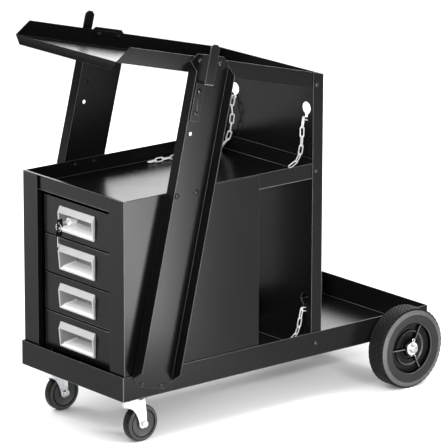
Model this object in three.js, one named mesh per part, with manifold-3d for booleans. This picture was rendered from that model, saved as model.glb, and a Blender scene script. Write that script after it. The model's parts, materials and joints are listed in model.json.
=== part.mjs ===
// A four-drawer welding cart: a sheet-steel base tray on two swivel casters and two fixed wheels,
// a drawer cabinet with an open shelf on top, a sloped welder tray on two struts, and chains for a
// gas bottle at the rear. Millimetres, +Z up, drawers face -Y, the fixed wheels are at +Y.
// Lengths along Y are counted from the front of the base tray, and the whole cart is centred last.

import * as THREE from 'three';
import { mergeVertices } from 'three/addons/utils/BufferGeometryUtils.js';
import { ConvexGeometry } from 'three/addons/geometries/ConvexGeometry.js';
import Module from 'manifold-3d';

const wasm = await Module();
wasm.setup();

// ---- Driving dimensions ----

const GAP = 0.3;                    // what touching pieces keep between them
const SHEET = 1.5;                  // base, tray and strut steel
const THIN = 1.2;                   // cabinet and drawer steel

const BASE_WIDTH = 354;
const BASE_LENGTH = 857;
const BASE_BOTTOM = 107;
const RAIL_HEIGHT = 54;
const BASE_FLOOR = BASE_BOTTOM + SHEET;
const CENTRE_FROM_FRONT = 421.865;    // the middle of the whole cart, from the front of the base

const CABINET_HALF = 173.5;
const CABINET_FRONT = 6;
const CABINET_BACK = 369;
const STILE_WIDTH = 49.5;
const STILE_RETURN = 11;

const SHELF_BOTTOM = 503.5;
const SHELF_TOP = 537.5;
const SHELF_HALF = 172;
const SHELF_SETBACK = 5;            // the front wall sits behind the stiles' faces

const PANEL_FRONT = 545.8;
const PANEL_HALF = 173.7;
const PANEL_SHEET = 1.4;
const PANEL_FLANGE = 29;            // its side flanges reach this far forward
const KEYHOLE_X = 119.7;
const KEYHOLE_HEIGHTS = [220, 645.8];
const KEYHOLE_RADIUS = 13;
const SLOT_WIDTH = 8;
const SLOT_DROP = 21;               // from the round hole's centre to the slot's end

const TRAY_SLOPE = 0.247;           // rise per length, the front is higher
const TRAY_TILT = Math.atan(TRAY_SLOPE);
const TRAY_HALF = 171.7;
const TRAY_FRONT = -9;
const TRAY_REAR = PANEL_FRONT - GAP;
const TRAY_REAR_FLOOR = 694.6;      // underside of the floor at the rear
const TRAY_WALL = 35.6;
const TRAY_WALL_START = 27.3;
const TRAY_LIP = 18;
const TRAY_BEND = 2;                // inside bend along the foot of its rear wall

const STRUT_FOOT = [25, 155.2];     // lower front corner of the channel, from the front and up
const STRUT_TILT = Math.atan(0.2415);
const STRUT_WIDTH = 105.8;
const STRUT_FLANGE = 26;
const STRUT_LENGTH = 672;
const STRUT_MITRE = 17;
const STRUT_TAB = 17;
const STRUT_INNER = BASE_WIDTH / 2 + GAP;
const STRUT_LEAN = Math.atan((STRUT_INNER - TRAY_HALF - GAP) / STRUT_LENGTH);
const BOLT_SPACING = 54;
const LOWER_BOLT = -11;             // along the strut from its foot
const UPPER_BOLT = 674;
const BRACKET_HOLES = [522, 567, 612];

const HOOK_WIDTH = 24;
const HOOK_THICKNESS = 2.6;
const HOOK_FOOT = 549;
const HOOK_BEND = 629;
const HOOK_TOP = 714.5;
// The left hook stands further out and further forward than the right one. Hole and centre are
// measured across the strut, and rise lifts the hook and its holes along it.
const HOOKS = {
  right: { side: 1, hole: 35, centre: 36.5, reach: 28, rise: 0 },
  left: { side: -1, hole: 23, centre: 21, reach: 33, rise: 4 },
};

const DRAWER_COUNT = 4;
const DRAWER_PITCH = 84.6;
const DRAWER_TOP = 494.2;
const DRAWER_FACE = 18.5;
const DRAWER_FRONT_HEIGHT = 82.4;
const DRAWER_FRONT_HALF = 115;
const DRAWER_FOLD = 12;
const DRAWER_BOX_HALF = 109;
const DRAWER_BOX_FRONT = 20.4;
const DRAWER_BOX_BACK = 357;
const DRAWER_BOX_HEIGHT = 62;
const DRAWER_BOX_RAISE = 6;         // from the front's bottom edge to the box's
const DRAWER_RIM = 5.5;             // the outward rim that slides on the rack's ledges
const RACK_FRONT = 34;
const RACK_FACE = 115.6;
const LEDGE_WIDTH = 5;

const PULL_HALF_WIDTH = 60;
const PULL_HALF_HEIGHT = 27;
const PULL_CENTRE_DROP = 40.5;      // below the drawer front's top edge
const PULL_BODY_DEPTH = 27;
const PULL_RIM = 3;                 // the rim's height over the drawer's front
const PULL_BAR = 7;                 // the finger bar's
const PULL_BAR_HEIGHT = 14;
const PULL_WALL = 2;
const PULL_WINDOW_INSET = 4;        // from the pull's outline to its window's edge

const LOCK_X = -39.5;
const LOCK_Z = 449;
const LOCK_FACE = 24;
const LOCK_RADIUS = 7.5;
const LOCK_LENGTH = 35;
const BEZEL_RADIUS = 8.5;
const BARREL_RADIUS = 5.3;
const BARREL_LENGTH = 38;

const KEY_HEAD_LENGTH = 14;
const KEY_HEAD_HALF = 8.5;
const KEY_HEAD_THICKNESS = 3;
const KEY_BLADE_LENGTH = 26;
const KEY_BLADE_HALF = 3;
const KEY_BLADE_THICKNESS = 1.4;
const KEY_HOLE_INSET = 4;           // from the head's end to the hole's centre
const KEY_FRONT = -5;               // the end of the head, with the key in the lock
const RING_RADIUS = 9;
const RING_WIRE = 0.9;

const AXLE_RADIUS = 8;
const AXLE_Y = 764.5;
const WHEEL_RADIUS = 90;
const WHEEL_WIDTH = 51.5;
const WHEEL_INNER = 180;
const AXLE_END = 240;
const TYRE_INNER_RADIUS = 59;
const HUB_RADIUS = 58.7;
const HUB_BOSS_RADIUS = 19;
const HUB_RIM = 6.7;                // thickness of the hub's outer ring
const HUB_RECESS = 12;              // from the tyre's outer sidewall to the hub's web
const HUB_WEB = 16;
const TYRE_WALL_DROP = 14;          // from the tread down to the flat of the sidewall
const TYRE_SHOULDER_DROP = 4;
const TYRE_SHOULDER_INSET = 3.4;
const TREAD_INSET = 6;
const RUNNING_GAP = 0.2;            // round the axle, in the hub and washer
const WASHER_RADIUS = 15;
const WASHER_THICKNESS = 2;
const PIN_RADIUS = 1.6;
const PIN_LENGTH = 42;
const PIN_RAISE = 3;                // its middle is above the axle's centre
const HANGER_INNER = 150;
const HANGER_OUTER = 172;
const HANGER_SHEET = 3;
const HANGER_HALF = 24;
const HANGER_BOLT_X = 161;
const HANGER_BOLT_SPACING = 28;
const HANGER_BOLT_HOLE = 3.3;       // radius

const CASTER_X = 136.6;
const CASTER_Y = 51;
const CASTER_TRAIL = 24.5;
const CASTER_RADIUS = 40;
const CASTER_WIDTH = 24;
const FORK_INNER = 12.8;
const FORK_SHEET = 2.2;
const FORK_BOWL = 18.5;             // outer radius of its rounded front
const FORK_TOP = 92;
const FORK_FOOT_RADIUS = 9.8;
const CASTER_PLATE_HALF = 30;
const CASTER_PLATE_SHEET = 2.5;
const RACE_RADIUS = 18;
const KINGPIN_RADIUS = 6;
const CASTER_AXLE_RADIUS = 4;

const CHAIN_DIAMETER = 6.4;

// ---- Materials ----

const finish = (color, roughness, metalness) =>
  new THREE.MeshStandardMaterial({ color, roughness, metalness });

const blackPaint = finish(0x1c1c1d, 0.35, 0.0);
const zinc = finish(0xc9cbce, 0.3, 1.0);
const satinChrome = finish(0xd9dadc, 0.35, 0.9);
const steelRod = finish(0xa9abad, 0.35, 1.0);
const tyreRubber = finish(0x2a2a2b, 0.8, 0.0);
const hubPlastic = finish(0x121213, 0.5, 0.0);
const casterRubber = finish(0x5b5c5e, 0.6, 0.0);
const keyPlastic = finish(0x0d0d0e, 0.5, 0.0);
const blackSteel = finish(0x202021, 0.45, 0.6);

// ---- Solid modelling helpers ----

function toSolid(geometry) {
  const bare = geometry.index ? geometry.toNonIndexed() : geometry.clone();
  bare.deleteAttribute('normal');
  bare.deleteAttribute('uv');
  const merged = mergeVertices(bare, 1e-4);
  return new wasm.Manifold(new wasm.Mesh({
    numProp: 3,
    vertProperties: new Float32Array(merged.attributes.position.array),
    triVerts: new Uint32Array(merged.index.array),
  }));
}

function toGeometry(solid) {
  const mesh = solid.getMesh();
  const geometry = new THREE.BufferGeometry();
  geometry.setAttribute('position', new THREE.BufferAttribute(mesh.vertProperties, 3));
  geometry.setIndex(new THREE.BufferAttribute(mesh.triVerts, 1));
  const flat = geometry.toNonIndexed();
  flat.computeVertexNormals();
  return flat;
}

const join = (...solids) => wasm.Manifold.union(solids);
const cut = (solid, ...tools) => solid.subtract(wasm.Manifold.union(tools));

// A block between two corners.
function block(x0, x1, y0, y1, z0, z1) {
  const geometry = new THREE.BoxGeometry(x1 - x0, y1 - y0, z1 - z0);
  geometry.translate((x0 + x1) / 2, (y0 + y1) / 2, (z0 + z1) / 2);
  return toSolid(geometry);
}

// A round bar along one axis, centred on a point.
function bar(axis, radius, length, centre, sides = 24) {
  const geometry = new THREE.CylinderGeometry(radius, radius, length, sides);
  if (axis === 'x') geometry.rotateZ(Math.PI / 2);
  if (axis === 'z') geometry.rotateX(Math.PI / 2);
  geometry.translate(...centre);
  return toSolid(geometry);
}

// A flat outline, drawn in two coordinates and extruded by a thickness.
function plate(points, thickness, holes = []) {
  const outline = points.map(([a, b]) => new THREE.Vector2(a, b));
  if (THREE.ShapeUtils.isClockWise(outline)) outline.reverse();
  const shape = new THREE.Shape(outline);
  for (const [a, b, radius] of holes) {
    shape.holes.push(new THREE.Path().absarc(a, b, radius, 0, 2 * Math.PI, true));
  }
  return new THREE.ExtrudeGeometry(shape, { depth: thickness, bevelEnabled: false, curveSegments: 10 });
}

// The same outline drawn in Y and Z, from x0 to x1.
function sidePlate(points, x0, x1, holes = []) {
  const geometry = plate(points, x1 - x0, holes);
  const turn = new THREE.Matrix4().makeBasis(
    new THREE.Vector3(0, 1, 0), new THREE.Vector3(0, 0, 1), new THREE.Vector3(1, 0, 0));
  geometry.applyMatrix4(turn);
  geometry.translate(x0, 0, 0);
  return toSolid(geometry);
}

// The outline drawn in X and Y, from z0 to z1.
function flatPlate(points, z0, z1, holes = []) {
  const geometry = plate(points, z1 - z0, holes);
  geometry.translate(0, 0, z0);
  return toSolid(geometry);
}

// A profile of radius and position, turned round the X axis.
function turned(profile, sides = 48) {
  const points = profile.map(([radius, along]) => new THREE.Vector2(radius, along));
  const geometry = new THREE.LatheGeometry(points, sides);
  geometry.rotateZ(-Math.PI / 2);
  return toSolid(geometry);
}

const hull = points => toSolid(new ConvexGeometry(points.map(p => new THREE.Vector3(...p))));

const mirrorX = solid => solid.mirror([1, 0, 0]);

// ---- The cart's scene graph ----

const cart = new THREE.Group();
cart.position.y = -CENTRE_FROM_FRONT;

function add(name, solid, material, parent = cart) {
  const mesh = new THREE.Mesh(toGeometry(solid), material);
  mesh.name = name;
  parent.add(mesh);
  return mesh;
}

// Left is -X and right is +X, seen by someone standing at the rear and pushing.
function addPair(name, solid, material) {
  add(`${name}_right`, solid, material);
  add(`${name}_left`, mirrorX(solid), material);
}

// ---- Base tray ----

function baseTray() {
  const half = BASE_WIDTH / 2;
  const outer = block(-half, half, 0, BASE_LENGTH, BASE_BOTTOM, BASE_BOTTOM + RAIL_HEIGHT);
  const inner = block(-half + SHEET, half - SHEET, SHEET, BASE_LENGTH - SHEET,
    BASE_FLOOR, BASE_BOTTOM + RAIL_HEIGHT + 1);
  const holes = hangerBoltHoles().map(hole => hole.translate([0, AXLE_Y, WHEEL_RADIUS]));
  return cut(outer, inner, ...holes, ...holes.map(mirrorX));
}

// ---- Cabinet ----

// One bent sheet: side wall, front stile and the stile's return.
function cabinetSide() {
  const front = CABINET_FRONT;
  const bottom = BASE_FLOOR + GAP;
  const stileEdge = CABINET_HALF - STILE_WIDTH;
  return join(
    block(CABINET_HALF - THIN, CABINET_HALF, front, CABINET_BACK, bottom, SHELF_TOP - THIN - GAP),
    block(stileEdge, CABINET_HALF, front, front + THIN, bottom, SHELF_TOP - THIN - GAP),
    block(stileEdge, stileEdge + THIN, front, front + STILE_RETURN, bottom, SHELF_BOTTOM - GAP),
  );
}

function cabinetBack() {
  const half = CABINET_HALF - THIN - GAP;
  return block(-half, half, CABINET_BACK - THIN, CABINET_BACK, BASE_FLOOR + GAP, SHELF_BOTTOM - GAP);
}

// A bent liner that carries one side of all four drawers on its ledges.
function drawerRack() {
  const front = RACK_FRONT;
  const back = CABINET_BACK - THIN - GAP;
  const top = SHELF_BOTTOM - GAP;
  const bottom = BASE_FLOOR + GAP;
  const outer = CABINET_HALF - THIN - GAP;
  const pieces = [
    block(RACK_FACE, RACK_FACE + THIN, front, back, bottom, top),
    block(RACK_FACE, outer, back - THIN, back, bottom, top),
    block(RACK_FACE, outer, front, front + THIN, bottom, top),
  ];
  for (let i = 0; i < DRAWER_COUNT; i++) {
    const ledgeTop = drawerRimBottom(i) - GAP;
    pieces.push(block(RACK_FACE - LEDGE_WIDTH, RACK_FACE + THIN, front, back, ledgeTop - THIN, ledgeTop));
  }
  return join(...pieces);
}

// ---- Mid shelf ----

// An open tray over the cabinet. Its front rim laps over the stiles, and a tab at each rear corner
// goes through the rear panel's plane, inside the flanges.
function midShelf() {
  const wall = CABINET_FRONT + SHELF_SETBACK;
  const back = PANEL_FRONT - GAP;
  const outer = block(-SHELF_HALF, SHELF_HALF, wall, back, SHELF_BOTTOM, SHELF_TOP);
  const inner = block(-SHELF_HALF + THIN, SHELF_HALF - THIN, wall + THIN, back - THIN,
    SHELF_BOTTOM + THIN, SHELF_TOP + 1);
  const rim = block(-CABINET_HALF, CABINET_HALF, CABINET_FRONT, wall + THIN, SHELF_TOP - THIN, SHELF_TOP);
  // The stiles reach up past the shelf's floor, so its front corners are notched around them.
  const notch = CABINET_HALF - THIN - GAP;
  const stile = block(notch, CABINET_HALF + 1, CABINET_FRONT - 1, CABINET_BACK, SHELF_BOTTOM - 1,
    SHELF_TOP - THIN);
  return cut(join(cut(outer, inner), rim), stile, mirrorX(stile));
}

// ---- Drawers ----

const drawerTop = i => DRAWER_TOP - i * DRAWER_PITCH;
const pullCentre = i => drawerTop(i) - PULL_CENTRE_DROP;
const drawerBoxBottom = i => drawerTop(i) - DRAWER_FRONT_HEIGHT + DRAWER_BOX_RAISE;
const drawerRimBottom = i => drawerBoxBottom(i) + DRAWER_BOX_HEIGHT - THIN;

// The window that the pull's body goes through.
function pullWindow(i) {
  const z = pullCentre(i);
  const halfWidth = PULL_HALF_WIDTH - PULL_WINDOW_INSET;
  const halfHeight = PULL_HALF_HEIGHT - PULL_WINDOW_INSET;
  return block(-halfWidth, halfWidth, DRAWER_FACE - 2, DRAWER_FACE + PULL_BODY_DEPTH,
    z - halfHeight, z + halfHeight);
}

function drawerFront(i) {
  const top = drawerTop(i);
  const half = DRAWER_FRONT_HALF;
  const bottom = top - DRAWER_FRONT_HEIGHT;
  const outer = block(-half, half, DRAWER_FACE, DRAWER_FACE + DRAWER_FOLD, bottom, top);
  const inner = block(-half + THIN, half - THIN, DRAWER_FACE + THIN, DRAWER_FACE + DRAWER_FOLD + 1,
    bottom + THIN, top - THIN);
  return cut(outer, inner, pullWindow(i));
}

function drawerBox(i) {
  const half = DRAWER_BOX_HALF;
  const bottom = drawerBoxBottom(i);
  const top = bottom + DRAWER_BOX_HEIGHT;
  const outer = block(-half, half, DRAWER_BOX_FRONT, DRAWER_BOX_BACK, bottom, top);
  const inner = block(-half + THIN, half - THIN, DRAWER_BOX_FRONT + THIN, DRAWER_BOX_BACK - THIN,
    bottom + THIN, top + 1);
  const rim = block(half - THIN, half + DRAWER_RIM, DRAWER_FACE + DRAWER_FOLD + 4, DRAWER_BOX_BACK - 8,
    top - THIN, top);
  return cut(join(cut(outer, inner), rim, mirrorX(rim)), pullWindow(i));
}

// A recessed scoop with a finger bar along its top edge. Each hull is drawn as rows of
// [half width, Y, Z] and is the same on both sides.
const pullHull = rows => hull(rows.flatMap(([half, y, z]) => [[-half, y, z], [half, y, z]]));

function drawerPull(i) {
  const w = PULL_HALF_WIDTH;
  const face = DRAWER_FACE - GAP;
  const rimFront = face - PULL_RIM;
  const barFront = face - PULL_BAR;
  const back = face + PULL_BODY_DEPTH;
  const floor = back - PULL_WALL;
  const bottom = pullCentre(i) - PULL_HALF_HEIGHT;
  const top = pullCentre(i) + PULL_HALF_HEIGHT;
  const barBottom = top - PULL_BAR_HEIGHT;
  const barInside = top - PULL_BAR;
  const neck = PULL_WINDOW_INSET + 0.5;
  const taper = 19;
  const slope = 15;
  const rim = pullHull([[w, rimFront, bottom], [w, face, bottom], [w, face, top],
    [w, rimFront + 1.5, top], [w, barFront, barBottom]]);
  const body = pullHull([[w - neck, face - 1, bottom + neck], [w - neck, face - 1, top - neck],
    [w - taper, back, bottom + slope], [w - taper, back, top - neck]]);
  const scoop = pullHull([[w - 3.5, barFront - 1, bottom + 3], [w - 3.5, barFront - 1, barBottom],
    [w - neck - PULL_WALL, face, bottom + neck + PULL_WALL], [w - neck - PULL_WALL, face, barBottom],
    [w - taper - PULL_WALL, floor, bottom + slope + PULL_WALL], [w - taper - PULL_WALL, floor, barBottom]]);
  const behindBar = pullHull([[w - 7, face - 2.5, barBottom - 1], [w - 7, face - 2.5, barInside],
    [w - taper - PULL_WALL, floor, barBottom - 1], [w - taper - PULL_WALL, floor, barInside]]);
  return cut(join(rim, body), scoop, behindBar);
}

// ---- Lock and keys, in the top drawer's pull ----

const lockPoint = (x, y, z) => [LOCK_X + x, y, LOCK_Z + z];

function lockHousing() {
  const bezel = bar('y', BEZEL_RADIUS, 3, lockPoint(0, LOCK_FACE + 1.5, 0));
  const body = bar('y', LOCK_RADIUS, LOCK_LENGTH, lockPoint(0, LOCK_FACE + LOCK_LENGTH / 2, 0));
  const bore = bar('y', BARREL_RADIUS + GAP, LOCK_LENGTH + 2, lockPoint(0, LOCK_FACE + LOCK_LENGTH / 2, 0));
  return cut(join(bezel, body), bore);
}

function lockBarrel() {
  const barrel = bar('y', BARREL_RADIUS, BARREL_LENGTH,
    lockPoint(0, LOCK_FACE - 0.5 + BARREL_LENGTH / 2, 0));
  const halfHeight = KEY_BLADE_HALF + 0.6;
  const halfWidth = KEY_BLADE_THICKNESS / 2 + GAP;
  const depth = KEY_FRONT + KEY_HEAD_LENGTH + KEY_BLADE_LENGTH + 1;
  const keyway = block(LOCK_X - halfWidth, LOCK_X + halfWidth, LOCK_FACE - 1, depth,
    LOCK_Z - halfHeight, LOCK_Z + halfHeight);
  return cut(barrel, keyway);
}

// The flat arm behind the lock. It lies sideways unlocked, and a quarter turn points it up.
function lockCam() {
  const front = LOCK_FACE - 0.5 + BARREL_LENGTH + GAP;
  const thickness = 2.4;
  const reach = 22;
  const outline = [[LOCK_X - 7, LOCK_Z - 7], [LOCK_X + reach, LOCK_Z - 5], [LOCK_X + reach, LOCK_Z + 5],
    [LOCK_X - 7, LOCK_Z + 7]];
  const geometry = plate(outline, thickness);
  geometry.rotateX(Math.PI / 2);
  geometry.translate(0, front + thickness, 0);
  return toSolid(geometry);
}

// A flat key in Y and Z, with the centre of the hole in its head at the origin.
function key() {
  const start = -KEY_HOLE_INSET;
  const end = start + KEY_HEAD_LENGTH;
  const tip = end + KEY_BLADE_LENGTH;
  const half = KEY_HEAD_HALF;
  const corner = 3;
  const bladeHalf = KEY_BLADE_HALF;
  const blade = sidePlate([[end - 1, -bladeHalf], [tip - bladeHalf, -bladeHalf], [tip, 0],
    [tip - bladeHalf, bladeHalf], [end - 1, bladeHalf]], -KEY_BLADE_THICKNESS / 2, KEY_BLADE_THICKNESS / 2);
  const head = sidePlate([[start, corner - half], [start + corner, -half], [end - 1, -half],
    [end, 1 - half], [end, half - 1], [end - 1, half], [start + corner, half], [start, half - corner]],
  -KEY_HEAD_THICKNESS / 2, KEY_HEAD_THICKNESS / 2, [[0, 0, 2.4]]);
  return join(blade, head);
}

function addLockAndKeys() {
  add('lock_housing', lockHousing(), satinChrome);
  add('lock_barrel', lockBarrel(), satinChrome);
  add('lock_cam', lockCam(), zinc);

  const holeY = KEY_FRONT + KEY_HOLE_INSET;
  add('key_in_lock', key().translate([LOCK_X, holeY, LOCK_Z]), keyPlastic);

  const ring = new THREE.TorusGeometry(RING_RADIUS, RING_WIRE, 8, 28);
  ring.rotateX(Math.PI / 2);
  ring.translate(LOCK_X, holeY, LOCK_Z - RING_RADIUS);
  add('key_ring', toSolid(ring), zinc);

  // The spare key hangs by its head from the bottom of the ring.
  const spare = key().rotate([-90, 0, 0]);
  add('spare_key', spare.translate([LOCK_X, holeY, LOCK_Z - 2 * RING_RADIUS]), keyPlastic);
}

// ---- Rear panel ----

function rearPanel() {
  const back = PANEL_FRONT + PANEL_SHEET;
  const flangeFront = back - PANEL_FLANGE;
  const bottom = BASE_FLOOR + GAP;
  const trayTop = y => TRAY_REAR_FLOOR + TRAY_WALL + TRAY_SLOPE * (TRAY_REAR - y);
  const web = block(-PANEL_HALF, PANEL_HALF, PANEL_FRONT, back, bottom, trayTop(back));
  const flange = sidePlate([[flangeFront, bottom], [back, bottom], [back, trayTop(back)],
    [flangeFront, trayTop(flangeFront)]], PANEL_HALF - PANEL_SHEET, PANEL_HALF);
  const keyholes = [];
  const slotHalf = SLOT_WIDTH / 2;
  for (const z of KEYHOLE_HEIGHTS) {
    const slotEnd = z - SLOT_DROP + slotHalf;
    for (const x of [-KEYHOLE_X, KEYHOLE_X]) {
      keyholes.push(
        bar('y', KEYHOLE_RADIUS, 10, [x, PANEL_FRONT, z], 32),
        bar('y', slotHalf, 10, [x, PANEL_FRONT, slotEnd], 16),
        block(x - slotHalf, x + slotHalf, PANEL_FRONT - 5, PANEL_FRONT + 5, slotEnd, z),
      );
    }
  }
  return cut(join(web, flange, mirrorX(flange)), ...keyholes);
}

// ---- Top tray ----

function topTray() {
  const underside = y => TRAY_REAR_FLOOR + TRAY_SLOPE * (TRAY_REAR - y);
  const rim = y => underside(y) + TRAY_WALL;
  const rise = SHEET / Math.cos(TRAY_TILT);
  const wall = sidePlate([[TRAY_FRONT, underside(TRAY_FRONT)], [TRAY_REAR, underside(TRAY_REAR)],
    [TRAY_REAR, rim(TRAY_REAR)], [TRAY_WALL_START, rim(TRAY_WALL_START)],
    [TRAY_FRONT, underside(TRAY_FRONT) + rise]], TRAY_HALF - SHEET, TRAY_HALF);
  const floor = sidePlate([[TRAY_FRONT, underside(TRAY_FRONT)], [TRAY_REAR, underside(TRAY_REAR)],
    [TRAY_REAR, underside(TRAY_REAR) + rise], [TRAY_FRONT, underside(TRAY_FRONT) + rise]],
  -TRAY_HALF, TRAY_HALF);
  const wallFace = TRAY_REAR - SHEET;
  const rear = block(-TRAY_HALF, TRAY_HALF, wallFace, TRAY_REAR, underside(TRAY_REAR), rim(TRAY_REAR));
  const bend = sidePlate([[wallFace - TRAY_BEND, underside(wallFace - TRAY_BEND) + rise - 0.1],
    [wallFace + 0.1, underside(wallFace) + rise - 0.1], [wallFace + 0.1, underside(wallFace) + rise + TRAY_BEND],
    [wallFace - TRAY_BEND, underside(wallFace - TRAY_BEND) + rise]], -TRAY_HALF + SHEET, TRAY_HALF - SHEET);
  // The front lip is folded square to the sloping floor, with its ends cut at 45 degrees.
  const lip = plate([[-TRAY_HALF, 0], [-TRAY_HALF + TRAY_LIP, -TRAY_LIP], [TRAY_HALF - TRAY_LIP, -TRAY_LIP],
    [TRAY_HALF, 0]], SHEET);
  lip.rotateX(Math.PI / 2 - TRAY_TILT);
  lip.translate(0, TRAY_FRONT + SHEET, underside(TRAY_FRONT) + 0.2);
  return join(wall, mirrorX(wall), floor, rear, bend, toSolid(lip));
}

// ---- Struts and what they carry ----

// A strut's own frame: x outward, y across it from front to rear, z along it from its foot.
function placeOnStrut(solid) {
  return solid
    .rotate([0, -THREE.MathUtils.radToDeg(STRUT_LEAN), 0])
    .rotate([-THREE.MathUtils.radToDeg(STRUT_TILT), 0, 0])
    .translate([STRUT_INNER, STRUT_FOOT[0], STRUT_FOOT[1]]);
}

const boltAcross = [STRUT_WIDTH / 2 - BOLT_SPACING / 2, STRUT_WIDTH / 2 + BOLT_SPACING / 2];

function strut({ hole, rise }) {
  const width = STRUT_WIDTH;
  const top = STRUT_LENGTH;
  const holes = BRACKET_HOLES.map(z => [hole, z + rise, 4]);
  const web = sidePlate([[0, 0], [STRUT_MITRE, -STRUT_TAB], [width - STRUT_MITRE, -STRUT_TAB], [width, 0],
    [width, top], [width - STRUT_MITRE, top + STRUT_TAB], [STRUT_MITRE, top + STRUT_TAB], [0, top]],
  0, SHEET, holes);
  const flangeShape = plate([[0, 0], [STRUT_FLANGE, STRUT_MITRE], [STRUT_FLANGE, top - STRUT_MITRE],
    [0, top]], SHEET);
  flangeShape.rotateX(Math.PI / 2);
  const rearFlange = toSolid(flangeShape.clone().translate(0, width, 0));
  const frontFlange = toSolid(flangeShape.clone().translate(0, SHEET, 0));
  return placeOnStrut(join(web, rearFlange, frontFlange));
}

// A flat bar bent out under the tray and up past it, for the torch and its leads.
function cableHook({ hole, centre, reach, rise }) {
  const near = centre - HOOK_WIDTH / 2;
  const far = centre + HOOK_WIDTH / 2;
  const web = SHEET + GAP;
  const bend = HOOK_BEND + rise;
  const top = HOOK_TOP + rise;
  const foot = block(web, web + HOOK_THICKNESS, near, far, HOOK_FOOT + rise, bend + HOOK_THICKNESS);
  const leg = block(web, web + reach, near, far, bend, bend + HOOK_THICKNESS);
  const chamfer = 7;
  const tab = sidePlate([[near, bend], [far, bend], [far, top - chamfer], [far - chamfer, top],
    [near + chamfer, top], [near, top - chamfer]], web + reach - HOOK_THICKNESS, web + reach);
  const holes = BRACKET_HOLES.slice(1).map(z => bar('x', 4, 12, [web, hole, z + rise]));
  return placeOnStrut(cut(join(foot, leg, tab), ...holes));
}

// A dome-headed screw on the strut's outer face.
function strutBolt(across, along) {
  const profile = [[0, SHEET + GAP], [6.2, SHEET + GAP], [6.2, SHEET + GAP + 1], [4.6, SHEET + 3.2],
    [2.4, SHEET + 4], [0, SHEET + 4.2]];
  return placeOnStrut(turned(profile, 16).translate([0, across, along]));
}

function addStruts() {
  for (const [side, hook] of Object.entries(HOOKS)) {
    const turn = hook.side > 0 ? solid => solid : mirrorX;
    add(`strut_${side}`, turn(strut(hook)), blackPaint);
    add(`cable_hook_${side}`, turn(cableHook(hook)), blackPaint);
  }
  for (const [end, across] of [['front', boltAcross[0]], ['rear', boltAcross[1]]]) {
    addPair(`strut_foot_bolt_${end}`, strutBolt(across, LOWER_BOLT), blackSteel);
    addPair(`tray_bolt_${end}`, strutBolt(across, UPPER_BOLT), blackSteel);
  }
}

// ---- Rear wheels ----

function wheelTyre() {
  const bore = TYRE_INNER_RADIUS;
  const r = WHEEL_RADIUS;
  const w = WHEEL_WIDTH;
  const wall = r - TYRE_WALL_DROP;
  const shoulder = r - TYRE_SHOULDER_DROP;
  const inset = TYRE_SHOULDER_INSET;
  return turned([[bore, 0], [wall, 0], [shoulder, inset], [r, TREAD_INSET], [r, w - TREAD_INSET],
    [shoulder, w - inset], [wall, w], [bore, w], [bore, 0]]).translate([WHEEL_INNER, 0, 0]);
}

function wheelHub() {
  const w = WHEEL_WIDTH;
  const bore = AXLE_RADIUS + RUNNING_GAP;
  const boss = HUB_BOSS_RADIUS;
  const outer = HUB_RADIUS;
  const ring = HUB_RADIUS - HUB_RIM;
  const webOut = w - HUB_RECESS;
  const webIn = webOut - HUB_WEB;
  const profile = [[bore, 3], [boss, 3], [boss, webIn], [ring, webIn], [ring, 2], [outer, 2], [outer, w - 2],
    [ring, w - 2], [ring, webOut], [boss, webOut], [boss, w - 3], [bore, w - 3], [bore, 3]];
  return turned(profile).translate([WHEEL_INNER, 0, 0]);
}

// The holes for one hanger's two bolts, from the axle's centre.
const hangerBoltHoles = () => [-0.5, 0.5].map(side =>
  bar('z', HANGER_BOLT_HOLE, 20, [HANGER_BOLT_X, side * HANGER_BOLT_SPACING, BASE_BOTTOM - WHEEL_RADIUS], 12));

// A folded hanger under the base floor, drilled for the axle and for two bolts.
function axleHanger() {
  const top = BASE_BOTTOM - GAP - WHEEL_RADIUS;
  const half = HANGER_HALF;
  const cheek = sidePlate([[-half, top], [half, top], [11, -13], [-11, -13]], HANGER_INNER,
    HANGER_INNER + HANGER_SHEET, [[0, 0, AXLE_RADIUS + GAP]]);
  const flange = block(HANGER_INNER, HANGER_OUTER, -half, half, top - HANGER_SHEET, top);
  return cut(join(cheek, flange), ...hangerBoltHoles());
}

function addRearWheels() {
  const place = solid => solid.translate([0, AXLE_Y, WHEEL_RADIUS]);
  addPair('wheel_tyre', place(wheelTyre()), tyreRubber);
  addPair('wheel_hub', place(wheelHub()), hubPlastic);

  const hubFace = WHEEL_INNER + WHEEL_WIDTH - 3;
  const bore = AXLE_RADIUS + RUNNING_GAP;
  const washer = turned([[bore, 0], [WASHER_RADIUS, 0], [WASHER_RADIUS, WASHER_THICKNESS],
    [bore, WASHER_THICKNESS], [bore, 0]], 32).translate([hubFace + GAP, 0, 0]);
  addPair('axle_washer', place(washer), zinc);

  const pinX = hubFace + 5;
  const pin = bar('z', PIN_RADIUS, PIN_LENGTH, [pinX, 0, PIN_RAISE], 12);
  addPair('split_pin', place(pin), zinc);

  const pinHoles = [-pinX, pinX].map(x => bar('z', PIN_RADIUS + GAP, 40, [x, 0, 0], 12));
  const axle = cut(bar('x', AXLE_RADIUS, 2 * AXLE_END, [0, 0, 0], 28), ...pinHoles);
  add('rear_axle', place(axle), steelRod);
  addPair('axle_hanger', place(axleHanger()), blackPaint);
}

// ---- Swivel casters ----

// The pieces of a caster are drawn round its swivel axis, with the floor at Z 0.
function casterPlate() {
  const top = BASE_BOTTOM - GAP;
  const half = CASTER_PLATE_HALF;
  const corner = half - 3;
  const square = flatPlate([[-corner, -half], [corner, -half], [half, -corner], [half, corner],
    [corner, half], [-corner, half], [-half, corner], [-half, -corner]], top - CASTER_PLATE_SHEET, top);
  const cup = bar('z', RACE_RADIUS + 1.5, 5, [0, 0, top - 4.9], 32);
  return join(square, cup, bar('z', KINGPIN_RADIUS, 20, [0, 0, top - 10], 20));
}

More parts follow.
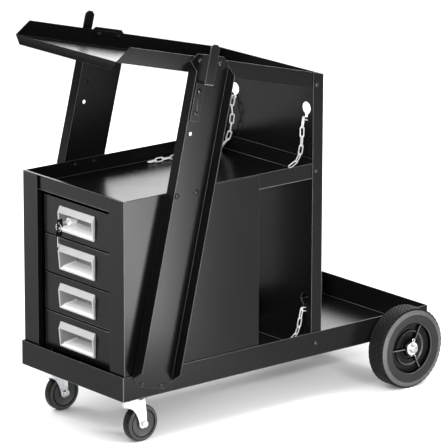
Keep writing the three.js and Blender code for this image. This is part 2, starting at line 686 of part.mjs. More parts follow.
// The plan outline of a fork: rounded at the front, at a half width and a nose radius.
function forkPlan(half, nose, rear, z0, z1) {
  const steps = 12;
  const turn = Math.asin(half / nose);
  const outline = [];
  for (let i = 0; i <= steps; i++) {
    const angle = turn * (2 * i / steps - 1);
    outline.push([nose * Math.sin(angle), -nose * Math.cos(angle)]);
  }
  return flatPlate([...outline, [half, rear], [-half, rear]], z0, z1);
}

// A pressed fork: closed under the race and open at the rear, with two legs that reach back to the
// axle.
function casterFork() {
  const outer = FORK_INNER + FORK_SHEET;
  const top = FORK_TOP + 2;
  const rear = 34;
  const shell = cut(forkPlan(outer, FORK_BOWL, rear, 20, top),
    forkPlan(FORK_INNER, FORK_BOWL - FORK_SHEET, rear + 1, 19, FORK_TOP));
  const foot = [];
  for (let degrees = 190; degrees <= 360; degrees += 17) {
    const angle = THREE.MathUtils.degToRad(degrees);
    foot.push([21.5 + FORK_FOOT_RADIUS * Math.cos(angle), 40.5 + FORK_FOOT_RADIUS * Math.sin(angle)]);
  }
  const side = sidePlate([[-22, top + 1], [-22, 80], [-12, 80], [-4, 75], [3, 66], [8.3, 55], [11.3, 44],
    ...foot, [31, 46], [30.6, 60], [28.5, 80], [26, top + 1]], -outer - 5, outer + 5);
  const race = bar('z', RACE_RADIUS, 6.7, [0, 0, FORK_TOP + 3.5], 32);
  const bore = bar('z', KINGPIN_RADIUS + 0.4, 60, [0, 0, FORK_TOP], 20);
  const axleHole = bar('x', CASTER_AXLE_RADIUS + GAP, 60, [0, CASTER_TRAIL, CASTER_RADIUS], 16);
  return cut(join(shell.intersect(side), race), bore, axleHole);
}

function casterWheel() {
  const w = CASTER_WIDTH / 2;
  const r = CASTER_RADIUS;
  const bore = CASTER_AXLE_RADIUS + 0.4;
  const side = [[10, w], [10, w - 2], [24, w - 3], [26, w], [32, w], [38, w - 3.5], [r, w - 8]];
  const nearSide = side.map(([radius, along]) => [radius, -along]);
  return turned([[bore, -w], ...nearSide, ...side.reverse(), [bore, w], [bore, -w]], 40);
}

function casterAxle() {
  const head = FORK_INNER + FORK_SHEET + GAP + 2.2;
  return join(bar('x', CASTER_AXLE_RADIUS, 2 * (FORK_INNER + FORK_SHEET) + 8, [0, 0, 0], 16),
    bar('x', 7.5, 4.4, [head, 0, 0], 6), bar('x', 7.5, 4.4, [-head, 0, 0], 6));
}

function addCasters() {
  const place = solid => solid.translate([CASTER_X, CASTER_Y, 0]);
  const wheelAt = solid => place(solid.translate([0, CASTER_TRAIL, CASTER_RADIUS]));
  addPair('caster_plate', place(casterPlate()), zinc);
  addPair('caster_fork', place(casterFork()), zinc);
  addPair('caster_wheel', wheelAt(casterWheel()), casterRubber);
  addPair('caster_axle', wheelAt(casterAxle()), zinc);
}

// ---- Gas-bottle chains, as plain cords of their length ----

// Each chain hooks over the slots of one pair of keyholes: its two ends hang in front of the rear
// panel, and its middle hangs behind it.
const UPPER_CHAIN = [
  [92, 523, 513], [105, 531, 526], [115, 533, 545], [120, 533, 572],
  [121, 533, 598], [120, 535, 616], [119.7, 540, 628.2], [119.7, 546.5, 630.9], [119.7, 553, 628.2],
  [119, 558, 616], [112, 560, 598], [90, 560, 571], [50, 560, 549], [0, 560, 541], [-50, 560, 549],
  [-90, 560, 571], [-112, 560, 598], [-119, 558, 616], [-119.7, 553, 628.2], [-119.7, 546.5, 630.9],
  [-119.7, 540, 628.2], [-118, 535, 616], [-113, 533, 600], [-113, 533, 582], [-118, 533, 562],
  [-123, 533, 543], [-132, 531, 526], [-142, 522, 513], [-149, 507, 510.6], [-151, 480, 508.9],
  [-147, 450, 508.9], [-150, 420, 508.9], [-147, 390, 508.9], [-149, 357, 508.9], [-146, 324, 508.9],
];

const LOWER_CHAIN = [
  [72, 497, 112.3], [80, 510, 112.6], [90, 523, 118], [102, 531, 131], [112, 533, 149], [118, 533, 168],
  [120, 535, 190], [119.7, 540, 202.4], [119.7, 546.5, 205.1], [119.7, 553, 202.4],
  [119, 558, 190], [112, 560, 172], [90, 560, 150], [50, 560, 133], [0, 560, 127], [-50, 560, 133],
  [-90, 560, 150], [-112, 560, 172], [-119, 558, 190], [-119.7, 553, 202.4], [-119.7, 546.5, 205.1],
  [-119.7, 540, 202.4], [-119, 535, 190], [-118, 533, 168], [-116, 532, 145], [-113, 526, 124],
  [-108, 514, 113.4], [-103, 495, 112.3], [-99, 470, 112.3], [-103, 445, 112.3], [-98, 420, 112.3],
  [-102, 395, 112.3],
];

function chainCord(points) {
  const route = new THREE.CatmullRomCurve3(points.map(p => new THREE.Vector3(...p)), false, 'centripetal');
  const section = new THREE.Shape();
  const sides = 8;
  for (let i = 0; i < sides; i++) {
    const angle = (2 * Math.PI * i) / sides;
    const x = (CHAIN_DIAMETER / 2) * Math.cos(angle);
    const y = (CHAIN_DIAMETER / 2) * Math.sin(angle);
    if (i === 0) section.moveTo(x, y);
    else section.lineTo(x, y);
  }
  section.closePath();
  const steps = Math.round(route.getLength() / (2.2 * CHAIN_DIAMETER));
  return toSolid(new THREE.ExtrudeGeometry(section, { steps, extrudePath: route, bevelEnabled: false }));
}

// ---- Assembly ----

add('base_tray', baseTray(), blackPaint);
addPair('cabinet_side', cabinetSide(), blackPaint);
add('cabinet_back', cabinetBack(), blackPaint);
addPair('drawer_rack', drawerRack(), blackPaint);
add('mid_shelf', midShelf(), blackPaint);
add('rear_panel', rearPanel(), blackPaint);
add('top_tray', topTray(), blackPaint);
addStruts();

const lockHole = bar('y', LOCK_RADIUS + GAP, 80, lockPoint(0, LOCK_FACE + 3, 0));
for (let i = 0; i < DRAWER_COUNT; i++) {
  const number = i + 1;
  const drilled = solid => (i === 0 ? cut(solid, lockHole) : solid);
  add(`drawer_${number}_front`, drawerFront(i), blackPaint);
  add(`drawer_${number}_box`, drilled(drawerBox(i)), blackPaint);
  add(`drawer_${number}_pull`, drilled(drawerPull(i)), satinChrome);
}
addLockAndKeys();
addRearWheels();
addCasters();
add('upper_chain', chainCord(UPPER_CHAIN), zinc);
add('lower_chain', chainCord(LOWER_CHAIN), zinc);

export default cart;
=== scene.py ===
"""Looks for a four-drawer welding cart: powder-coated sheet steel with rolled folds, satin drawer pulls,
a cam lock with its keys, treaded rear wheels, swivel casters and welded-link chains.

Metres, +Z up, drawers face -Y. Lengths in millimetres are written as a number times MM."""

import json
import math

import bmesh
import bpy
from mathutils import Matrix, Vector

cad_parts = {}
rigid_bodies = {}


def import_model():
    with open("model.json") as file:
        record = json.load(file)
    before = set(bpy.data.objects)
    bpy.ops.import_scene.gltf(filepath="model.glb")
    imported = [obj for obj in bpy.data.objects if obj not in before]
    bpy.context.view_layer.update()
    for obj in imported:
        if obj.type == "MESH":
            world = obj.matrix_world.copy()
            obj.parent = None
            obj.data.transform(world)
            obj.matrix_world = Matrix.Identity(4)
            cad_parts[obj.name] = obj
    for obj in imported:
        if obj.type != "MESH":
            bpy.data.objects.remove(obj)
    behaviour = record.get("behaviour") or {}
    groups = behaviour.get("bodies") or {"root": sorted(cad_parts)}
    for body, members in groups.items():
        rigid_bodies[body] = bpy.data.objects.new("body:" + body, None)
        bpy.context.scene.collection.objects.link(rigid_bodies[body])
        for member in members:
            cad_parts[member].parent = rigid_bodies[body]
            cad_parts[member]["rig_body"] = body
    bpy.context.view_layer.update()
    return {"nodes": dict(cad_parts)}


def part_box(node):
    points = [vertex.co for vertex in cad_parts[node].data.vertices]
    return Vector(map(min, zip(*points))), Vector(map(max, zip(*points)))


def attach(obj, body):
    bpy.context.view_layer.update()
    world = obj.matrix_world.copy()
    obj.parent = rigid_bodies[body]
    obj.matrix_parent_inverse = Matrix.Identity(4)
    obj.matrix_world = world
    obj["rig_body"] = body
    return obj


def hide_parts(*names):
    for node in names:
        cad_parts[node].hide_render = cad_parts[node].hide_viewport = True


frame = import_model()

MM = 0.001
SIDES = (("right", 1), ("left", -1))
DRAWERS = range(1, 5)
BASE_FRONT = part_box("base_tray")[0].y
AXLE_BORE = 8.2 * MM                # radius of the hubs' and washers' bores


# ---- Camera ----

CAMERA_TARGET = Vector((0.243, -0.2065, 0.470))
CAMERA_AZIMUTH = math.radians(50.4)
CAMERA_ELEVATION = math.radians(15.12)
CAMERA_ROLL = math.radians(0.14)
CAMERA_DISTANCE = 7.472
CAMERA_LENS_MM = 289.5


def make_camera():
    """The photo's view: a long lens from the front right, a little above the cart."""
    data = bpy.data.cameras.new("camera")
    data.lens = CAMERA_LENS_MM
    data.sensor_width = 36
    data.clip_start = 0.1
    data.clip_end = 60
    camera = bpy.data.objects.new("camera", data)
    bpy.context.scene.collection.objects.link(camera)
    level = math.cos(CAMERA_ELEVATION)
    back = Vector((math.sin(CAMERA_AZIMUTH) * level, -math.cos(CAMERA_AZIMUTH) * level,
                   math.sin(CAMERA_ELEVATION)))
    camera.rotation_mode = "QUATERNION"
    camera.location = CAMERA_TARGET + back * CAMERA_DISTANCE
    roll = Matrix.Rotation(CAMERA_ROLL, 4, back).to_quaternion()
    camera.rotation_quaternion = roll @ (-back).to_track_quat("-Z", "Y")
    bpy.context.scene.camera = camera


make_camera()


# ---- Materials ----

class Nodes:
    """A material's node tree, with short names for the few kinds of node used here."""

    def __init__(self, name):
        self.material = bpy.data.materials.new(name)
        self.material.use_nodes = True
        self.tree = self.material.node_tree
        self.shader = self.tree.nodes["Principled BSDF"]

    def add(self, kind):
        return self.tree.nodes.new(kind)

    def set(self, socket, value):
        """Gives one of the shader's own sockets a constant."""
        self.shader.inputs[socket].default_value = value

    def link(self, output, socket):
        self.tree.links.new(output, socket)

    def place(self, stretch=(1, 1, 1)):
        """Object coordinates, so a pattern stays on its piece as the piece moves."""
        mapping = self.add("ShaderNodeMapping")
        mapping.inputs["Scale"].default_value = stretch
        self.link(self.add("ShaderNodeTexCoord").outputs["Object"], mapping.inputs["Vector"])
        return mapping.outputs["Vector"]

    def noise(self, scale, detail=2.0, rough=0.5, stretch=(1, 1, 1)):
        node = self.add("ShaderNodeTexNoise")
        node.inputs["Scale"].default_value = scale
        node.inputs["Detail"].default_value = detail
        node.inputs["Roughness"].default_value = rough
        self.link(self.place(stretch), node.inputs["Vector"])
        return node.outputs["Fac"]

    def colours(self, value, stops):
        """A ramp between two colours, given as (place, colour) pairs."""
        node = self.add("ShaderNodeValToRGB")
        for stop, (at, colour) in zip(node.color_ramp.elements, stops):
            stop.position = at
            stop.color = (*colour, 1)
        self.link(value, node.inputs["Fac"])
        self.link(node.outputs["Color"], self.shader.inputs["Base Color"])

    def roughness(self, value, low, high):
        node = self.add("ShaderNodeMapRange")
        for name, number in (("From Min", 0.3), ("From Max", 0.7), ("To Min", low), ("To Max", high)):
            node.inputs[name].default_value = number
        self.link(value, node.inputs["Value"])
        self.link(node.outputs["Result"], self.shader.inputs["Roughness"])

    def bump(self, value, distance, strength):
        node = self.add("ShaderNodeBump")
        node.inputs["Strength"].default_value = strength
        node.inputs["Distance"].default_value = distance
        self.link(value, node.inputs["Height"])
        self.link(node.outputs["Normal"], self.shader.inputs["Normal"])


def grey(value):
    return (value, value, value)


def edge_highlight_paint():
    """The paint over a fold or a cut edge: paler than the coat as a painted highlight, and it shines more."""
    n = Nodes("black_powder_painted_edge_highlight")
    n.colours(n.noise(40, 4), [(0.3, grey(0.050)), (0.7, grey(0.075))])
    n.roughness(n.noise(60, 3), 0.26, 0.40)
    n.set("Specular IOR Level", 0.7)
    return n.material


def powder_coat():
    """Semi-gloss black powder coat: fine orange peel and a slightly cloudy gloss."""
    n = Nodes("black_powder_coat")
    n.colours(n.noise(5, 3), [(0.3, grey(0.0030)), (0.7, grey(0.0036))])
    n.roughness(n.noise(9, 4, 0.6), 0.24, 0.27)
    n.bump(n.noise(650, 2, 0.4), 0.03 * MM, 0.35)
    n.set("Specular IOR Level", 0.11)
    return n.material


def satin_plate(name, dark, light):
    """Satin chrome plate, with the faint draw lines of a pressed part."""
    n = Nodes(name)
    n.set("Metallic", 0.12)
    lines = n.noise(60, 3, 0.6, stretch=(1, 9, 9))
    n.colours(lines, [(0.3, grey(dark)), (0.7, grey(light))])
    n.roughness(n.noise(25, 3), 0.36, 0.46)
    n.bump(lines, 0.02 * MM, 0.3)
    return n.material


def bright_chrome():
    """Polished chrome of the lock, dulled in patches by handling."""
    n = Nodes("bright_chrome")
    n.set("Metallic", 1.0)
    n.colours(n.noise(70, 3), [(0.3, grey(0.70)), (0.7, grey(0.80))])
    n.roughness(n.noise(110, 4), 0.10, 0.24)
    n.bump(n.noise(500, 2), 0.01 * MM, 0.2)
    return n.material


def zinc_plate():
    """Bright zinc plate with a cool, slightly mottled sheen."""
    n = Nodes("zinc_plate")
    n.set("Metallic", 1.0)
    n.colours(n.noise(120, 4, 0.6), [(0.3, (0.60, 0.62, 0.65)), (0.7, (0.76, 0.78, 0.80))])
    n.roughness(n.noise(40, 3), 0.20, 0.34)
    n.bump(n.noise(900, 2), 0.02 * MM, 0.25)
    return n.material


def chain_zinc():
    """Barrel-plated zinc of the chains, paler and less mirror-like than the plate."""
    n = Nodes("chain_zinc")
    n.set("Metallic", 0.25)
    n.colours(n.noise(150, 4, 0.6), [(0.3, (0.66, 0.67, 0.69)), (0.7, (0.86, 0.87, 0.88))])
    n.roughness(n.noise(60, 3), 0.24, 0.38)
    n.bump(n.noise(900, 2), 0.02 * MM, 0.25)
    return n.material


def turned_steel():
    """Turned bar: fine rings round the axle."""
    n = Nodes("turned_steel")
    n.set("Metallic", 1.0)
    rings = n.noise(260, 2, 0.5, stretch=(8, 0.4, 0.4))
    n.colours(rings, [(0.3, grey(0.42)), (0.7, grey(0.55))])
    n.roughness(rings, 0.28, 0.42)
    n.bump(rings, 0.03 * MM, 0.4)
    return n.material


def rubber(name, dark, light, rough_low, rough_high):
    """Moulded rubber: bloom in soft clouds and a fine pebbled skin."""
    n = Nodes(name)
    n.colours(n.noise(14, 5, 0.6), [(0.3, grey(dark)), (0.7, grey(light))])
    n.roughness(n.noise(30, 4), rough_low, rough_high)
    n.bump(n.noise(1300, 2, 0.6), 0.05 * MM, 0.5)
    n.set("Specular IOR Level", 0.15)
    return n.material


def moulded_plastic(name, dark, light, rough_low, rough_high):
    """Moulded plastic with a spark-eroded grain."""
    n = Nodes(name)
    n.colours(n.noise(18, 3), [(0.3, grey(dark)), (0.7, grey(light))])
    n.roughness(n.noise(22, 3), rough_low, rough_high)
    n.bump(n.noise(1500, 3, 0.6), 0.03 * MM, 0.4)
    n.set("Specular IOR Level", 0.14)
    return n.material


def black_oxide():
    """Black oxide steel: oily blue-black with lighter rubbed patches."""
    n = Nodes("black_oxide")
    n.set("Specular IOR Level", 0.45)
    n.colours(n.noise(160, 4), [(0.35, (0.0010, 0.0011, 0.0013)), (0.75, (0.0050, 0.0050, 0.0055))])
    n.roughness(n.noise(90, 3), 0.14, 0.24)
    n.bump(n.noise(1100, 2), 0.03 * MM, 0.3)
    return n.material


BLACK = powder_coat()
# Paler paint for every fold and cut edge of the black sheets: a painted highlight.
BLACK_EDGE_HIGHLIGHT = edge_highlight_paint()
CHROME = satin_plate("satin_chrome", 0.38, 0.43)
# Lit and shaded copies of the pulls' satin chrome: a pale scoop floor as painted light, dark scoop walls as
# painted shade.
SCOOP_FLOOR_LIT = satin_plate("satin_chrome_floor_painted_light", 0.74, 0.82)
SCOOP_WALL_SHADED = satin_plate("satin_chrome_wall_painted_shade", 0.13, 0.17)
LOCK_CHROME = bright_chrome()
LOCK_RING = satin_plate("lock_ring_chrome", 0.80, 0.90)
ZINC = zinc_plate()
CHAIN_ZINC = chain_zinc()
STEEL = turned_steel()
TREAD = rubber("tyre_tread", 0.0040, 0.0070, 0.40, 0.55)
TYRE_SHOULDER_HIGHLIGHT = rubber("tyre_shoulder_painted_highlight", 0.062, 0.090, 0.22, 0.32)
TREAD_GROOVE_SHADE = rubber("tyre_groove_painted_shade", 0.0005, 0.0010, 0.6, 0.8)
SIDEWALL = rubber("tyre_sidewall", 0.019, 0.025, 0.50, 0.62)
CASTER_GREY = rubber("caster_rubber", 0.034, 0.044, 0.36, 0.48)
CASTER_TREAD_AND_GROOVE_SHADE = rubber("caster_tread", 0.003, 0.006, 0.30, 0.45)
HUB = moulded_plastic("hub_plastic", 0.0010, 0.0020, 0.16, 0.24)
HUB_CHAMFER_HIGHLIGHT = moulded_plastic("hub_chamfer_painted_highlight", 0.060, 0.090, 0.16, 0.24)
RIB_FACE_HIGHLIGHT = moulded_plastic("hub_rib_painted_highlight", 0.10, 0.15, 0.30, 0.40)
KEY_HEAD = moulded_plastic("key_plastic", 0.002, 0.004, 0.3, 0.42)
OXIDE = black_oxide()


# ---- Making pieces ----

SHARP_DEGREES = 28              # faces that turn by more than this meet at a real edge
FOLD_RADIUS = 1.6 * MM
CUT_EDGE = 0.35 * MM
FACE_OF_A_SHEET = 5 * MM        # a face at least this wide isn't the cut edge of a sheet


def piece_of(bm, name, body, materials, replaces=(), sharp=30):
    """Turns a bmesh into a piece that rides on a body. sharp is the angle at which its shading breaks."""
    bmesh.ops.recalc_face_normals(bm, faces=bm.faces)
    for face in bm.faces:
        face.smooth = True
    for edge in bm.edges:
        edge.smooth = edge.calc_face_angle(0) < math.radians(sharp)
    mesh = bpy.data.meshes.new(name)
    bm.to_mesh(mesh)
    bm.free()
    piece = bpy.data.objects.new(name, mesh)
    bpy.context.scene.collection.objects.link(piece)
    for material in materials if isinstance(materials, tuple) else (materials,):
        mesh.materials.append(material)
    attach(piece, body)
    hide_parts(*replaces)
    return piece


def round_edges(piece, width, segments=2, angle=40, by_weight=False, material=-1):
    """Bevels a piece's sharp edges, or its weighted ones. material is the slot the bevels show."""
    bevel = piece.modifiers.new("rounded_edges", "BEVEL")
    bevel.material = material
    bevel.width = width
    bevel.segments = segments
    bevel.limit_method = "WEIGHT" if by_weight else "ANGLE"
    bevel.angle_limit = math.radians(angle)
    bevel.harden_normals = True
    return piece


def across(face, edge):
    """About how wide a face is, away from one of its edges."""
    return face.calc_area() / max(edge.calc_length(), 1e-9)


def cad_bmesh(node):
    """A copy of a CAD node's mesh with its flat faces whole."""
    bm = bmesh.new()
    bm.from_mesh(frame["nodes"][node].data)
    bmesh.ops.remove_doubles(bm, verts=bm.verts, dist=1e-6)
    bmesh.ops.dissolve_limit(bm, angle_limit=math.radians(0.5), verts=bm.verts, edges=bm.edges)
    bmesh.ops.connect_verts_concave(bm, faces=bm.faces)
    return bm


def raise_lower_edge(bm, lift):
    """Moves the lowest few millimetres of a sheet up, which widens the gap under it."""
    lowest = min(vert.co.z for vert in bm.verts)
    for vert in bm.verts:
        if vert.co.z < lowest + 3 * MM:
            vert.co.z += lift


def sheet_part(node, materials=(BLACK, BLACK_EDGE_HIGHLIGHT), fold=FOLD_RADIUS, cut=CUT_EDGE,
               lift=0.0):
    """The CAD sheet with rolled folds: wide where two faces meet at a fold, fine along cut edges."""
    bm = cad_bmesh(node)
    raise_lower_edge(bm, lift)
    weight = bm.edges.layers.float.new("bevel_weight_edge")
    for edge in bm.edges:
        if len(edge.link_faces) != 2 or edge.calc_face_angle(0) < math.radians(SHARP_DEGREES):
            continue
        is_fold = edge.is_convex and min(across(f, edge) for f in edge.link_faces) > FACE_OF_A_SHEET
        edge[weight] = 1.0 if is_fold else cut / fold
    body = frame["nodes"][node]["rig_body"]
    piece = piece_of(bm, f"{node}_sheet", body, materials, [node], sharp=SHARP_DEGREES)
    # The rounded folds and edges show the last material, which for the black sheets is the painted edge
    # highlight.
    return round_edges(piece, fold, by_weight=True, material=len(materials) - 1)


def machined(node, body, material, rounding):
    """The CAD shape with fine rounded edges."""
    part = piece_of(cad_bmesh(node), f"{node}_machined", body, material, [node])
    return round_edges(part, rounding)


def ring_of(bm, points):
    """New vertices at the points."""
    return [bm.verts.new(p) for p in points]


def bridge(bm, first, second, material=0):
    """Faces between two loops of equally many points."""
    count = len(first)
    for i in range(count):
        j = (i + 1) % count
        bm.faces.new((first[i], first[j], second[j], second[i])).material_index = material


def turned(bm, profile, centre, axis="x", steps=64):
    """A closed profile of (radius, along) turned round X or Y. Points at radius 0 close it."""
    rings = []
    for radius, along in profile:
        ring = []
        for i in range(1 if radius == 0 else steps):
            a = math.tau * i / steps
            u, v = radius * math.cos(a), radius * math.sin(a)
            local = (along, u, v) if axis == "x" else (u, along, v)
            ring.append(bm.verts.new(Vector(centre) + Vector(local)))
        rings.append(ring)
    pairs = list(zip(rings, rings[1:]))
    if profile[0][0] != 0:
        pairs.append((rings[-1], rings[0]))
    for first, second in pairs:
        for i in range(steps):
            j = (i + 1) % steps
            corners = [first[i % len(first)], first[j % len(first)], second[j % len(second)],
                       second[i % len(second)]]
            corners = list(dict.fromkeys(corners))
            if len(corners) > 2:
                bm.faces.new(corners)


def prism(bm, outline, low, high, to_world):
    """An outline of (a, b) points between two heights; to_world places (a, b, height)."""
    bottom = ring_of(bm, [to_world(a, b, low) for a, b in outline])
    top = ring_of(bm, [to_world(a, b, high) for a, b in outline])
    bridge(bm, bottom, top)
    bm.faces.new(bottom)
    bm.faces.new(top)


def tube(bm, points, radius, sides=10, closed=False):
    """A round wire along points, with its frame carried along without twist."""
    count = len(points)
    rings = []
    side = None
    for i in range(count):
        before = points[(i - 1) % count] if closed or i > 0 else points[i]
        after = points[(i + 1) % count] if closed or i < count - 1 else points[i]
        forward = (after - before).normalized()
        if side is None:
            side = forward.orthogonal().normalized()
        side = (side - forward * side.dot(forward)).normalized()
        up = forward.cross(side)
        ring = []
        for k in range(sides):
            a = math.tau * k / sides
            ring.append(points[i] + radius * (math.cos(a) * side + math.sin(a) * up))
        rings.append(ring_of(bm, ring))
    for i in range(count - 1):
        bridge(bm, rings[i], rings[i + 1])
    if closed:
        bridge(bm, rings[-1], rings[0])
    else:
        bm.faces.new(rings[0])
        bm.faces.new(rings[-1])


# ---- Gas-bottle chains ----

LINK_LENGTH = 26 * MM
LINK_WIDTH = 11 * MM
LINK_WIRE = 2.8 * MM

# The routes follow the cart's own layout, in millimetres from the front of the base tray.
UPPER_CHAIN = [
    (92, 523, 513), (105, 531, 526), (115, 533, 545), (120, 533, 572),
    (121, 533, 598), (120, 535, 616), (119.7, 540, 628.2), (119.7, 546.5, 630.9), (119.7, 553, 628.2),
    (119, 558, 616), (112, 560, 598), (90, 560, 571), (50, 560, 549), (0, 560, 541), (-50, 560, 549),
    (-90, 560, 571), (-112, 560, 598), (-119, 558, 616), (-119.7, 553, 628.2), (-119.7, 546.5, 630.9),
    (-119.7, 540, 628.2), (-118, 535, 616), (-113, 533, 600), (-113, 533, 582), (-118, 533, 562),
    (-123, 533, 543), (-132, 531, 526), (-142, 522, 513), (-149, 507, 510.6), (-151, 480, 508.9),
    (-147, 450, 508.9), (-150, 420, 508.9), (-147, 390, 508.9), (-149, 357, 508.9), (-146, 324, 508.9),
]
LOWER_CHAIN = [
    (72, 497, 112.3), (80, 510, 112.6), (90, 523, 118), (102, 531, 131), (112, 533, 149), (118, 533, 168),
    (120, 535, 190), (119.7, 540, 202.4), (119.7, 546.5, 205.1), (119.7, 553, 202.4),
    (119, 558, 190), (112, 560, 172), (90, 560, 150), (50, 560, 133), (0, 560, 127), (-50, 560, 133),
    (-90, 560, 150), (-112, 560, 172), (-119, 558, 190), (-119.7, 553, 202.4), (-119.7, 546.5, 205.1),
    (-119.7, 540, 202.4), (-119, 535, 190), (-118, 533, 168), (-116, 532, 145), (-113, 526, 124),
    (-108, 514, 113.4), (-103, 495, 112.3), (-99, 470, 112.3), (-103, 445, 112.3), (-98, 420, 112.3),
    (-102, 395, 112.3),
]


def smooth_route(points, steps=12):
    """A centripetal Catmull-Rom curve through the points."""
    points = [Vector(p) for p in points]
    padded = [2 * points[0] - points[1], *points, 2 * points[-1] - points[-2]]
    curve = []
    for a, b, c, d in zip(padded, padded[1:], padded[2:], padded[3:]):
        t1 = math.sqrt((b - a).length)
        t2 = t1 + math.sqrt((c - b).length)
        t3 = t2 + math.sqrt((d - c).length)
        for k in range(steps):
            t = t1 + (t2 - t1) * k / steps
            ab = a.lerp(b, t / t1)
            bc = b.lerp(c, (t - t1) / (t2 - t1))
            cd = c.lerp(d, (t - t2) / (t3 - t2))
            abc = ab.lerp(bc, t / t2)
            bcd = bc.lerp(cd, (t - t1) / (t3 - t1))
            curve.append(abc.lerp(bcd, (t - t1) / (t2 - t1)))
    curve.append(points[-1])
    return curve


def link_joints(curve, pitch):
    """Points a link's pitch apart, as the crow flies, along a curve."""
    joints = [curve[0]]
    for start, end in zip(curve, curve[1:]):
        while (end - joints[-1]).length >= pitch:
            near, far = 0.0, 1.0
            for _ in range(30):
                middle = (near + far) / 2
                if (start.lerp(end, middle) - joints[-1]).length < pitch:
                    near = middle
                else:
                    far = middle
            joints.append(start.lerp(end, far))
    return joints


def link(bm, start, end, side):
    """One welded link between two joints. Its flat lies along side."""
    forward = (end - start).normalized()
    side = (side - forward * side.dot(forward)).normalized()
    middle = (start + end) / 2
    bend = (LINK_WIDTH - LINK_WIRE) / 2
    straight = LINK_LENGTH / 2 - LINK_WIDTH / 2
    outline = []
    for end_of, first in ((1, -90), (-1, 90)):
        for k in range(9):
            a = math.radians(first + 180 * k / 8)
            along = end_of * straight + bend * math.cos(a)
            outline.append(middle + forward * along + side * (bend * math.sin(a)))
    tube(bm, outline, LINK_WIRE / 2, sides=8, closed=True)


def make_chain(name, route):
    """Links along a route, each turned a quarter from the one before."""
    curve = smooth_route([Vector((x, y, z)) * MM + Vector((0, BASE_FRONT, 0)) for x, y, z in route])
    joints = link_joints(curve, LINK_LENGTH - 2 * LINK_WIRE)
    bm = bmesh.new()
    side = Vector((0, 0, 1))
    for i, (start, end) in enumerate(zip(joints, joints[1:])):
        forward = (end - start).normalized()
        side = (side - forward * side.dot(forward)).normalized()
        turned_side = side + forward.cross(side) if i % 2 == 0 else side - forward.cross(side)
        link(bm, start, end, turned_side)
    chain = piece_of(bm, f"{name}_links", "cart", CHAIN_ZINC, [name], sharp=60)


make_chain("upper_chain", UPPER_CHAIN)
make_chain("lower_chain", LOWER_CHAIN)


# ---- Sheet metal ----

FRONT_LIFT = 1.3 * MM               # how far the drawer fronts' lower edges are raised


def make_sheet_metal():
    """Every black sheet of the cart and its drawers."""
    for name in ("base_tray", "cabinet_back", "mid_shelf", "rear_panel", "top_tray"):
        sheet_part(name)
    for side, _ in SIDES:
        for part in ("cabinet_side", "drawer_rack", "strut", "cable_hook", "axle_hanger"):
            sheet_part(f"{part}_{side}")
    for number in DRAWERS:
        sheet_part(f"drawer_{number}_front", lift=FRONT_LIFT)
        sheet_part(f"drawer_{number}_box")


make_sheet_metal()


# ---- Screws ----

def circle(radius, steps, height):
    """Points round the Z axis at a height."""
    turns = [math.tau * i / steps for i in range(steps)]
    return [(radius * math.cos(a), radius * math.sin(a), height) for a in turns]


def fastener(bm, name, body, centre, outward, replaces=()):
    """A piece of what bm holds round the Z axis, stood on a face at centre and pointing outward."""
    turn = Vector(outward).to_track_quat("Z", "Y").to_matrix().to_4x4()
    bmesh.ops.transform(bm, matrix=Matrix.Translation(centre) @ turn, verts=bm.verts)
    return piece_of(bm, name, body, OXIDE, replaces)


def stack(bm, loops):
    """A closed solid from loops on top of each other."""
    for first, second in zip(loops, loops[1:]):
        bridge(bm, first, second)
    bm.faces.new(loops[0])
    bm.faces.new(loops[-1])


def dome_screw(name, body, centre, outward, radius=6.2 * MM, replaces=()):
    """A button-head screw: washer edge, dome and a hexagon socket."""
    bm = bmesh.new()
    socket = 0.42 * radius
    height = 0.62 * radius
    steps = 24
    dome = ((1.0, 0.0), (1.0, 0.12), (0.93, 0.3), (0.8, 0.58), (0.62, 0.85), (0.5, 0.97))
    loops = [ring_of(bm, circle(r * radius, steps, h * height)) for r, h in dome]
    for depth in (1.0, 0.35):
        loop = []
        for i in range(steps):
            a = math.tau * i / steps
            flat = socket * math.cos(math.pi / 6) / math.cos(a % (math.pi / 3) - math.pi / 6)
            loop.append(bm.verts.new((flat * math.cos(a), flat * math.sin(a), depth * height)))
        loops.append(loop)
    stack(bm, loops)
    return fastener(bm, name, body, centre, outward, replaces)


NUT_SHAPE = ((1, 0), (1, 0.8), (0.86, 1))                   # (radius, height) as parts of the nut's own
SCREW_END = ((0.42, 0.5), (0.42, 1.45), (0.32, 1.6))


def hex_nut(name, body, centre, outward, radius=5.5 * MM, height=3.2 * MM):
    """A nut with the screw's end standing out of it."""
    bm = bmesh.new()
    for steps, shape in ((6, NUT_SHAPE), (20, SCREW_END)):
        stack(bm, [ring_of(bm, circle(r * radius, steps, h * height)) for r, h in shape])
    return fastener(bm, name, body, centre, outward)


STRUT_FOOT_Y = BASE_FRONT + 25 * MM
STRUT_FOOT_Z = 155.2 * MM
STRUT_INNER = 177.3 * MM
STRUT_TILT = math.atan(0.2415)      # back from upright
STRUT_LEAN = math.atan(5.3 / 672)   # in towards the cart
STRUT_SHEET = 1.5 * MM
HOOK_FACE = 4.4 * MM            # the outside of a cable hook's foot, from the web's inner face
